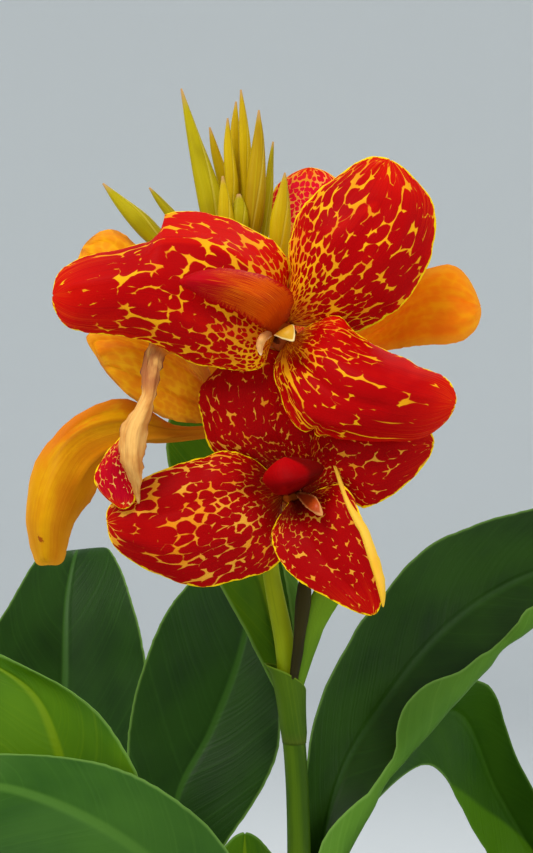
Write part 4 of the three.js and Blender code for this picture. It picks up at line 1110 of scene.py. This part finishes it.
def round_mesh(name, points, grid, materials, origin, lobes=0.0, twist=0.0):
    """A round piece along a smooth line. lobes is the depth of its three corners, twist how they wind."""
    rows, sides = grid
    points = np.array(points, float)
    t = np.linspace(0, 1, rows)
    line = curve(points[:, :3], t)
    radius = np.maximum(curve(points[:, 3:], t)[:, 0], 0.05)
    along = unit(np.gradient(line, axis=0))
    right = unit(np.cross(np.array([0.0, 1.0, 0.0]), along))
    front = np.cross(along, right)
    turn = np.linspace(0, 1, sides + 1)
    angle = -2 * math.pi * turn
    shape = 1 + lobes * np.cos(3 * angle[None, :] + twist * t[:, None])
    spokes = right[:, None] * np.cos(angle)[None, :, None] + front[:, None] * np.sin(angle)[None, :, None]
    ring = line[:, None] + (radius[:, None] * shape)[:, :, None] * spokes
    wide = 2 * math.pi * radius.mean()
    at = np.arange(rows * (sides + 1)).reshape(rows, sides + 1)
    faces = np.stack([at[:-1, :-1], at[1:, :-1], at[1:, 1:], at[:-1, 1:]], axis=-1).reshape(-1, 4).tolist()
    faces.append(at[0, :-1].tolist())
    faces.append(at[-1, -2::-1].tolist())
    maps = {"Grain": (run_of(line)[:, None], turn * wide), "Place": (t[:, None], turn)}
    piece = solid(name, ring.reshape(-1, 3) + origin, [faces], maps, ring.shape[:2], materials)
    mesh = bmesh.new()
    mesh.from_mesh(piece.data)
    bmesh.ops.remove_doubles(mesh, verts=mesh.verts, dist=1e-6)
    bmesh.ops.recalc_face_normals(mesh, faces=mesh.faces)
    mesh.to_mesh(piece.data)
    mesh.free()
    return piece


# ---- the flower head ----

CRIMSON = colour(186, 2, 30)
# Painted shade: the lower flower takes darker copies of the red and the gold, and darker bases.
SHADED_RED = colour(164, 0, 2)
SHADED_GOLD = colour(232, 162, 50)
LOWER = dict(red=SHADED_RED, gold=SHADED_GOLD)  # the lower flower lies in the front flower's shade
PETAL_FACES = {
    "front_staminode_left": speckled(
        "speckle_left", (0.72, 0.33, -0.1), 1.3, lines=0.3, lean=0.04, ridge=0.5, far=(0.62, 0.95)
    ),
    "front_staminode_upper": speckled("speckle_upper", (0.68, 0.36, 0.28), 5.1, lines=0.3, lean=0.2, rim=0.3),
    "front_staminode_right": speckled(
        "speckle_right", (0.36, 0.17, -0.25), 9.7, lines=0.4, stripes=0.95, lean=-0.04, far=(0.5, 0.8),
        rimless=True
    ),
    "front_labellum": labellum_material(),
    "front_style": style_material(
        "style_pale", colour(222, 162, 30), colour(200, 138, 16), rim=colour(255, 226, 150)
    ),
    "front_anther": style_material(
        "anther_pale", colour(236, 172, 90), colour(228, 150, 96), rim=colour(252, 214, 166)
    ),
    "lower_staminode_left": speckled(
        "speckle_lower_left", (0.28, 0.35, 0.27), 13.3, lines=0.4, rim=0.15, painted_glow=0.25, shadow=0.6, **LOWER
    ),
    "lower_staminode_upper": speckled(
        "speckle_lower_upper", (0.34, 0.24, 0.22), 17.9, lines=0.25, painted_glow=0.3, shadow=0.7, **LOWER
    ),
    "lower_staminode_right": speckled(
        "speckle_lower_right", (0.36, 0.25, 0.12), 21.1, lines=0.35, rim=0.15, painted_glow=0.3, shadow=0.9, **LOWER
    ),
    "lower_staminode_bottom": speckled(
        "speckle_lower_bottom", (0.4, 0.2, 0.1), 25.7, lines=0.25, painted_glow=0.3, shadow=0.9, **LOWER
    ),
    "lower_staminode_fold": petal_back(
        "folded_margin", 61.3, main=colour(244, 186, 84), blush=colour(240, 150, 40), blotch=0.7, net=0.0,
        rim=colour(255, 212, 10)
    ),
    "lower_stamen": stamen_material(),
    "lower_style": style_material(
        "style_orange", colour(198, 76, 16), colour(146, 36, 6), rim=colour(230, 152, 80), border=1.3
    ),
    "faded_petal_upper": speckled("speckle_faded_a", (0.5, 0.5, 0.4), 33.1),
    "faded_petal_left": speckled("speckle_faded_b", (0.5, 0.5, 0.4), 37.7),
    "faded_petal_drooping": petal_back(
        "drooping_orange", 41.3, main=colour(220, 154, 0), blush=colour(186, 88, 0), blotch=0.4, net=0.1,
        painted_shade=0.45, flush=0.4, spot=(82, -2.4)
    ),
    "withered_petal": withered_material(),
    "withered_petal_flap": speckled(
        "speckle_flap", (0.4, 0.28, 0.2), 45.9, lines=0.25, red=CRIMSON, gold=colour(250, 196, 96)
    ),
    "back_petal_right": speckled("speckle_back_a", (0.5, 0.5, 0.4), 49.1),
    "back_staminode_upper": speckled(
        "speckle_back_b", (0.62, 0.62, 0.62), 53.7, lines=0.0, red=colour(226, 10, 44),
        gold=colour(250, 160, 60)
    ),
    "bract_right": stem_material("bract_green", colour(102, 138, 12), colour(80, 116, 8)),
    "bract_dark": stem_material("bract_brown", colour(48, 42, 2), colour(30, 27, 2)),
}
BACKS = {
    "orange": petal_back("petal_underside", 3.3),
    "faded": petal_back(
        "petal_underside_faded", 8.1, main=colour(255, 178, 10), blush=colour(236, 112, 2), blotch=0.6,
        net=0.5, scar=0.8
    ),
    "bright": petal_back(
        "petal_underside_bright", 11.4, main=colour(255, 156, 0), blush=colour(248, 102, 0), blotch=0.7,
        net=0.4
    ),
}
SAME_BACK = (
    "front_style", "front_anther", "lower_style", "withered_petal", "faded_petal_drooping",
    "lower_staminode_fold",
)
SMALL = ("front_style", "front_anther", "lower_stamen", "lower_style", "bract_right", "bract_dark")


def back_of(name):
    if name.startswith("bract") or name in SAME_BACK:
        return PETAL_FACES[name]
    if name.startswith("faded"):
        return BACKS["faded"]
    return BACKS["bright"] if name.startswith("back") else BACKS["orange"]


def make_petals():
    for number, (name, blade) in enumerate(BLADES.items()):
        skins, seed = [PETAL_FACES[name], back_of(name), PETAL_FACES[name]], number * 1.7
        grid = SMALL_GRID if name in SMALL else PETAL_GRID
        piece = blade_mesh(f"{name}_visible", blade, grid, PETAL_THICK, 0, seed, skins, HEAD_AT)
        if name.endswith("fold"):
            stand_with(piece)
        else:
            stand_for(piece, name)


def make_round_pieces():
    green = stem_material("flower_stalk", colour(150, 164, 6), colour(116, 136, 2))
    tube = stem_material("flower_tube", colour(176, 76, 10), colour(124, 56, 8))
    stem = stem_material("stem", colour(70, 98, 2), colour(48, 76, 0), joint=70)
    shoot = stem_material("leaf_shoot", colour(80, 108, 16), colour(58, 88, 12), joint=90)
    green_bud = bud_material("bud_green", colour(112, 118, 2), colour(180, 162, 0), colour(140, 124, 0))
    gold_bud = bud_material("bud_gold", colour(134, 126, 0), colour(206, 172, 0), colour(178, 136, 0))
    bronze_bud = bud_material("bud_bronze", colour(124, 110, 0), colour(182, 146, 0), colour(156, 114, 0))
    stalk = round_mesh("rachis_visible", RACHIS, STALK_GRID, [green], HEAD_AT, lobes=0.05, twist=3)
    stand_for(stalk, "rachis")
    for name, points in TUBES.items():
        stand_for(round_mesh(f"{name}_visible", points, TUBE_GRID, [tube], HEAD_AT), name)
    for name, points in BUDS.items():
        skin = gold_bud if name in GOLDEN_BUDS else bronze_bud if name in BRONZE_BUDS else green_bud
        bud = round_mesh(f"{name}_visible", points, BUD_GRID, [skin], HEAD_AT, lobes=0.1, twist=1.5)
        stand_for(bud, name)
    for name, points in SHOOTS.items():
        skin = stem if name == "flowering_stem" else shoot
        piece = round_mesh(f"{name}_visible", points, SHOOT_GRID, [skin], 0, lobes=0.02, twist=2)
        stand_for(piece, name)


def sheath(name, points, material, low, high, heading, cut, lip=0.0):
    """A leaf's sheath round a shoot, high on its leaf's side, low on the other, where its edges overlap."""
    points = np.array(points, float)
    fine = curve(points, np.linspace(0, 1, 400))
    rows, sides = SHEATH_GRID
    turn = np.linspace(-SHEATH_WRAP, SHEATH_WRAP, sides)
    angle = math.radians(heading) + math.pi * turn
    top = high - cut * np.clip(np.abs(turn), 0, 1) ** 1.6
    share = np.linspace(0, 1, rows)
    z = low + (top[None, :] - low) * share[:, None]
    x, y, r = (np.interp(z, fine[:, 2], fine[:, i]) for i in (0, 1, 3))
    grown = np.clip(share / 0.2, 0, 1)[:, None]
    r = r + 0.1 + 0.15 * grown + (0.05 + 0.17 * grown) * (turn[None, :] + SHEATH_WRAP)
    r = r + 0.9 * share[:, None] ** 2
    r = r + lip * share[:, None] ** 5 * np.clip(np.cos(math.pi * turn), 0, 1) ** 2

    def shell(gap):
        return np.stack([x + (r + gap) * np.cos(angle), y + (r + gap) * np.sin(angle), z], axis=-1)

    both = np.concatenate([shell(0.0).reshape(-1, 3), shell(-SHEATH_THICK).reshape(-1, 3)])
    parts = [np.concatenate(shell_faces(rows, sides))]
    rim = np.minimum(top - z, (SHEATH_WRAP - np.abs(turn[None, :])) * math.pi * r)
    maps = {"Grain": (z - low, turn[None, :] * math.pi * r), "Place": (share[:, None], rim)}
    stand_with(solid(name, both, parts, maps, z.shape, [material]))


# Sheaths of each shoot: the heights of foot and top, the side that the leaf is on, in degrees, how far down
# they are cut on the other side and, for the top one, how far its lip leans out to meet its leaf.
SHEATHS = {
    "flowering_stem": [
        (188, 262, -62, 24), (240, 340, -25, 32), (300, 420, 150, 36), (400, 500, 190, 30),
        (470, 556, 172, 26), (530, 574, 20, 16), (625, 651.5, 185, 9.5, 3.0),
    ],
    "side_shoot_front": [(188, 292, -108, 34), (260, 410, 60, 44), (380, 566, 180, 50)],
    "side_shoot_middle": [(190, 382, -78, 56), (340, 552, -90, 60)],
    "side_shoot_back": [(190, 300, -60, 34), (280, 372, 55, 28), (350, 484, 12, 40)],
    "side_shoot_left": [(190, 342, 172, 48), (310, 524, 80, 60)],
}


def sheath_material():
    """A ribbed green sheath with a thin dry edge, browner at its foot."""
    s = Shader("leaf_sheath", roughness=0.55, specular=0.12)
    grain, share, edge = s.on_piece()
    rib = s.streaks(grain, 0.012, 1.1, 3.0)
    cloud = s.streaks(grain, 0.02, 0.06, 3.0, shift=3)
    base = s.mix(s.step(cloud, 0.3, 0.7), colour(50, 80, 2), colour(72, 100, 4))
    base = s.over(base, colour(92, 118, 14), s.step(rib, 0.5, 0.68), 0.3)
    base = s.over(base, colour(96, 92, 30), s.step(share, 0.2, 0.0), 0.25)
    base = s.over(base, colour(112, 142, 30), s.step(edge, 0.7, 0.2), 0.7)
    s.bump(rib, 0.4, 0.4)
    return s.finish(base)


def make_sheaths():
    material = sheath_material()
    rows = [(SHOOTS[shoot], row) for shoot, rows in SHEATHS.items() for row in rows]
    for number, (points, row) in enumerate(rows):
        sheath(f"leaf_sheath_{number}", points, material, *row)


# ---- the leaves ----


def make_leaves():
    deep = leaf_material("leaf_deep", colour(20, 48, 4), colour(34, 68, 8), colour(54, 94, 24))
    plain = leaf_material("leaf_plain", colour(24, 52, 4), colour(40, 74, 8), colour(50, 88, 20), rib=0.3)
    mid = leaf_material("leaf_mid", colour(38, 78, 14), colour(58, 100, 24), colour(76, 118, 36))
    folded = leaf_material(
        "leaf_folded", colour(34, 74, 2), colour(54, 94, 6), colour(64, 106, 12), rib=0.2,
        fold=colour(84, 132, 2)
    )
    bright = leaf_material("leaf_bright", colour(38, 84, 0), colour(78, 118, 0), colour(112, 140, 2))
    under = leaf_material(
        "leaf_underside", colour(66, 108, 22), colour(84, 126, 32), colour(104, 142, 50), roughness=0.6
    )
    # painted light: leaf_top takes the lighter bright green so its shaded face near the collar looks lit
    faces = {
        "leaf_left": bright, "leaf_side_back": bright, "leaf_top": bright, "leaf_front_left": mid,
        "leaf_right_back": folded, "leaf_right": plain,
    }
    arched = {name: arching(numbers) for name, numbers in ARCHING_LEAVES.items()}
    for number, (name, blade) in enumerate({**LEAVES, **arched}.items()):
        face = faces.get(name, mid if number % 3 == 1 and name in arched else deep)
        origin = np.zeros(3) if name in arched else HEAD_AT
        skins, seed = [face, under, under], 3 + number * 2.3
        piece = blade_mesh(f"{name}_visible", blade, LEAF_GRID, LEAF_THICK, LEAF_CREASE, seed, skins, origin)
        stand_for(piece, name)


# ---- the pot, the soil and the rhizome ----


def turned_mesh(name, profile, sides, materials):
    """A round body turned from a profile of radius and height that starts and ends on the axis."""
    angle = np.linspace(0, 2 * math.pi, sides, endpoint=False)
    mesh = bmesh.new()
    rings = []
    for r, z in profile:
        if r == 0:
            rings.append([mesh.verts.new((0, 0, z * MM))])
        else:
            spots = [(r * MM * math.cos(a), r * MM * math.sin(a), z * MM) for a in angle]
            rings.append([mesh.verts.new(spot) for spot in spots])
    for low, high in zip(rings, rings[1:]):
        for i in range(sides):
            j = (i + 1) % sides
            corners = [low[i % len(low)], low[j % len(low)], high[j % len(high)], high[i % len(high)]]
            face = list(dict.fromkeys(corners))
            if len(face) > 2:
                mesh.faces.new(face)
    bmesh.ops.recalc_face_normals(mesh, faces=mesh.faces)
    return drawn_piece(name, mesh, materials)


def wall_at(z):
    return POT_BASE_RADIUS + (POT_TOP_RADIUS - POT_BASE_RADIUS) * z / POT_HEIGHT


def inner_at(z):
    foot, top = wall_at(POT_FLOOR) - POT_WALL, POT_TOP_RADIUS - POT_WALL
    return foot + (top - foot) * (z - POT_FLOOR) / (POT_HEIGHT - 2 - POT_FLOOR)


def make_pot():
    collar, under_rim = POT_HEIGHT - RIM_HEIGHT, wall_at(POT_HEIGHT - RIM_HEIGHT)
    outer, inner = POT_TOP_RADIUS + RIM_STEP, POT_TOP_RADIUS - POT_WALL
    wall = [(wall_at(z), z) for z in np.linspace(2.5, collar - 1, 26)]
    profile = [(0, 0), (40, 0), (POT_BASE_RADIUS - 2, 0), (POT_BASE_RADIUS - 0.5, 0.8), *wall]
    profile += [(under_rim + 0.8, collar + 0.2), (under_rim + RIM_STEP - 2, collar + 0.8)]
    profile += [(under_rim + RIM_STEP, collar + 3.2), (outer - 0.3, POT_HEIGHT - 6)]
    profile += [(outer, POT_HEIGHT - 3.5), (outer - 1, POT_HEIGHT - 1), (outer - 3.5, POT_HEIGHT)]
    profile += [(inner + 2.5, POT_HEIGHT), (inner + 0.6, POT_HEIGHT - 0.7), (inner, POT_HEIGHT - 3)]
    profile += [(inner_at(z), z) for z in np.linspace(POT_HEIGHT - 8, POT_FLOOR + 4, 12)]
    profile += [(inner_at(POT_FLOOR) - 3, POT_FLOOR), (0, POT_FLOOR)]
    pot = turned_mesh("pot_visible", profile, POT_SIDES, [clay_material()])
    for i in range(DRAIN_COUNT):
        angle = 2 * math.pi * i / DRAIN_COUNT
        spot = (DRAIN_CIRCLE * MM * math.cos(angle), DRAIN_CIRCLE * MM * math.sin(angle), 0)
        size = dict(vertices=DRAIN_SIDES, radius=DRAIN_RADIUS * MM, depth=4 * POT_FLOOR * MM)
        bpy.ops.mesh.primitive_cylinder_add(**size, location=spot)
        cutter = bpy.context.object
        cut = pot.modifiers.new("drain", "BOOLEAN")
        cut.object, cut.operation, cut.solver = cutter, "DIFFERENCE", "EXACT"
        bpy.context.view_layer.objects.active = pot
        bpy.ops.object.modifier_apply(modifier=cut.name)
        bpy.data.objects.remove(cutter)
    smooth_by_angle(pot, SHARP)
    stand_for(pot, "pot")


def smooth_by_angle(piece, degrees):
    """Smooth shading, with every edge sharper than the angle left sharp."""
    mesh = bmesh.new()
    mesh.from_mesh(piece.data)
    for face in mesh.faces:
        face.smooth = True
    for edge in mesh.edges:
        if len(edge.link_faces) == 2 and edge.calc_face_angle(0) > math.radians(degrees):
            edge.smooth = False
    mesh.to_mesh(piece.data)
    mesh.free()


def make_soil():
    """Crumbly soil with a low crown, and loose bits of bark and perlite on it."""
    rng = np.random.default_rng(SOIL_SEED)
    rings, sides = SOIL_RINGS, SOIL_SIDES
    edge = inner_at(SOIL_TOP) - 1.0
    angle = np.linspace(0, 2 * math.pi, sides, endpoint=False)
    points, faces = [(0, 0, (SOIL_TOP + SOIL_CROWN - 1) * MM)], []
    bump = rng.normal(0, 1, (rings, sides))
    for _ in range(2):
        bump = (bump + np.roll(bump, 1, 0) + np.roll(bump, 1, 1) + np.roll(bump, -1, 1)) / 2.6
    for i in range(rings):
        r = edge * (i + 1) / rings
        crown = SOIL_CROWN * (1 - (r / edge) ** 2)
        for j in range(sides):
            lift = np.clip(bump[i, j], -1.8, 1.3) * 0.8 * (1 - (i / rings) ** 8)
            z = SOIL_TOP + crown - 1.4 + lift
            points.append((r * MM * math.cos(angle[j]), r * MM * math.sin(angle[j]), z * MM))
    for j in range(sides):
        k = (j + 1) % sides
        faces.append((0, 1 + j, 1 + k))
        for i in range(rings - 1):
            a, b = 1 + i * sides, 1 + (i + 1) * sides
            faces.append((a + j, b + j, b + k, a + k))
    base = len(points)
    r, z = inner_at(POT_FLOOR) - 4, POT_FLOOR + 1
    points += [(r * MM * math.cos(a), r * MM * math.sin(a), z * MM) for a in angle]
    top = 1 + (rings - 1) * sides
    for j in range(sides):
        k = (j + 1) % sides
        faces.append((top + j, base + j, base + k, top + k))
    faces.append(tuple(base + j for j in reversed(range(sides))))
    mesh = bpy.data.meshes.new("soil_visible")
    mesh.from_pydata(points, [], faces)
    mesh.polygons.foreach_set("use_smooth", [True] * len(mesh.polygons))
    stand_for(piece_of("soil_visible", mesh, [soil_material()]), "soil")
    scatter(rng, "soil_bark", bark_material(), count=150, size=3.4, shape=(1, 0.55, 0.3))
    scatter(rng, "soil_perlite", perlite_material(), count=60, size=1.5, shape=(1, 0.9, 0.8))


def perlite_material():
    s = Shader("perlite", roughness=0.9)
    grain = s.noise(s.object_place(), 1400.0, 3.0)
    s.bump(grain, 0.5, 0.4)
    return s.finish(s.mix(s.step(grain, 0.35, 0.65), colour(196, 188, 170), colour(226, 220, 206)))


def bark_material():
    s = Shader("bark_chip", roughness=0.9, specular=0.2)
    grain = s.noise(s.stretch(s.object_place(), 300, 900, 300), 1.0, 3.0)
    s.bump(grain, 0.6, 0.6)
    return s.finish(s.mix(s.step(grain, 0.35, 0.65), colour(66, 42, 26), colour(118, 82, 52)))


def scatter(rng, name, material, count, size, shape):
    """Small rough bits that lie half sunk in the soil, clear of the shoots."""
    mesh = bmesh.new()
    edge = inner_at(SOIL_TOP) - 8
    stems = [points[1][:2] for points in SHOOTS.values()]
    made = 0
    while made < count:
        x, y = rng.uniform(-edge, edge, 2)
        radius = math.hypot(x, y)
        if radius > edge or min(math.hypot(x - a, y - b) for a, b in stems) < 16:
            continue
        made += 1
        grown = bmesh.ops.create_icosphere(mesh, subdivisions=1, radius=1)["verts"]
        turn = rng.uniform(0, 2 * math.pi)
        scale = size * rng.uniform(0.6, 1.4) * np.array(shape)
        z = SOIL_TOP + SOIL_CROWN * (1 - (radius / edge) ** 2) - 1.2
        for vert in grown:
            local = np.array(vert.co) * scale * rng.uniform(0.75, 1.15)
            vert.co = Vector((
                (x + local[0] * math.cos(turn) - local[1] * math.sin(turn)) * MM,
                (y + local[0] * math.sin(turn) + local[1] * math.cos(turn)) * MM,
                (z + local[2]) * MM,
            ))
    stand_with(drawn_piece(name, mesh, [material]))


def make_rhizome():
    skin = stem_material("rhizome_skin", colour(196, 168, 120), colour(168, 136, 90), joint=14)
    piece = round_mesh("rhizome_visible", RHIZOME, RHIZOME_GRID, [skin], 0, lobes=0.03)
    stand_for(piece, "rhizome")


# ---- floor, light and camera ----


def make_stage():
    """A pale floor that curves up all round into a pale wall, far from the plant."""
    profile = [(0, 0), (1200, 0), (FLOOR_RADIUS, 0)]
    for a in np.linspace(0.1, math.pi / 2, 14):
        profile.append((FLOOR_RADIUS + BEND_RADIUS * math.sin(a), BEND_RADIUS - BEND_RADIUS * math.cos(a)))
    profile.append((FLOOR_RADIUS + BEND_RADIUS, WALL_TOP))
    pale = Shader("studio_pale", roughness=0.95).finish(colour(232, 235, 234))
    stage = turned_mesh("studio_floor", profile, STAGE_SIDES, [pale])
    smooth_by_angle(stage, SHARP)


def area_light(name, place, target, size, watts, tint):
    data = bpy.data.lights.new(name, "AREA")
    data.shape, data.size, data.energy, data.color = "DISK", size, watts, tint
    lamp = bpy.data.objects.new(name, data)
    lamp.location = place
    lamp.rotation_euler = (Vector(target) - Vector(place)).to_track_quat("-Z", "Y").to_euler()
    lamp.visible_camera = False
    bpy.context.collection.objects.link(lamp)


def make_light():
    scene = bpy.context.scene
    scene.view_settings.view_transform = "Standard"
    scene.view_settings.look = "None"
    world = bpy.data.worlds.new("soft_sky")
    world.use_nodes = True
    world.node_tree.nodes["Background"].inputs["Color"].default_value = (0.86, 0.92, 1.0, 1)
    world.node_tree.nodes["Background"].inputs["Strength"].default_value = 0.55
    scene.world = world
    head = (0.0, 0.0, 0.7)
    area_light("key", (-1.0, -1.4, 2.5), head, size=1.5, watts=46, tint=(1.0, 0.98, 0.95))
    area_light("fill", (1.7, -1.2, 1.2), head, size=1.6, watts=12, tint=(0.95, 0.98, 1.0))
    area_light("back", (0.6, 1.3, 1.9), head, size=1.2, watts=14, tint=(1.0, 1.0, 1.0))


def make_camera():
    data = bpy.data.cameras.new("camera")
    data.sensor_width = 36.0
    data.lens = VIEW_FOCAL / FRAME_HEIGHT * data.sensor_width
    camera = bpy.data.objects.new("camera", data)
    camera.location = Vector((HEAD_AT + np.array([0, -VIEW_DISTANCE, 0])) * MM)
    camera.rotation_euler = (math.radians(90), 0, 0)
    bpy.context.collection.objects.link(camera)
    bpy.context.scene.camera = camera


make_camera()
make_petals()
make_round_pieces()
make_leaves()
make_sheaths()
make_pot()
make_soil()
make_rhizome()
make_stage()
make_light()
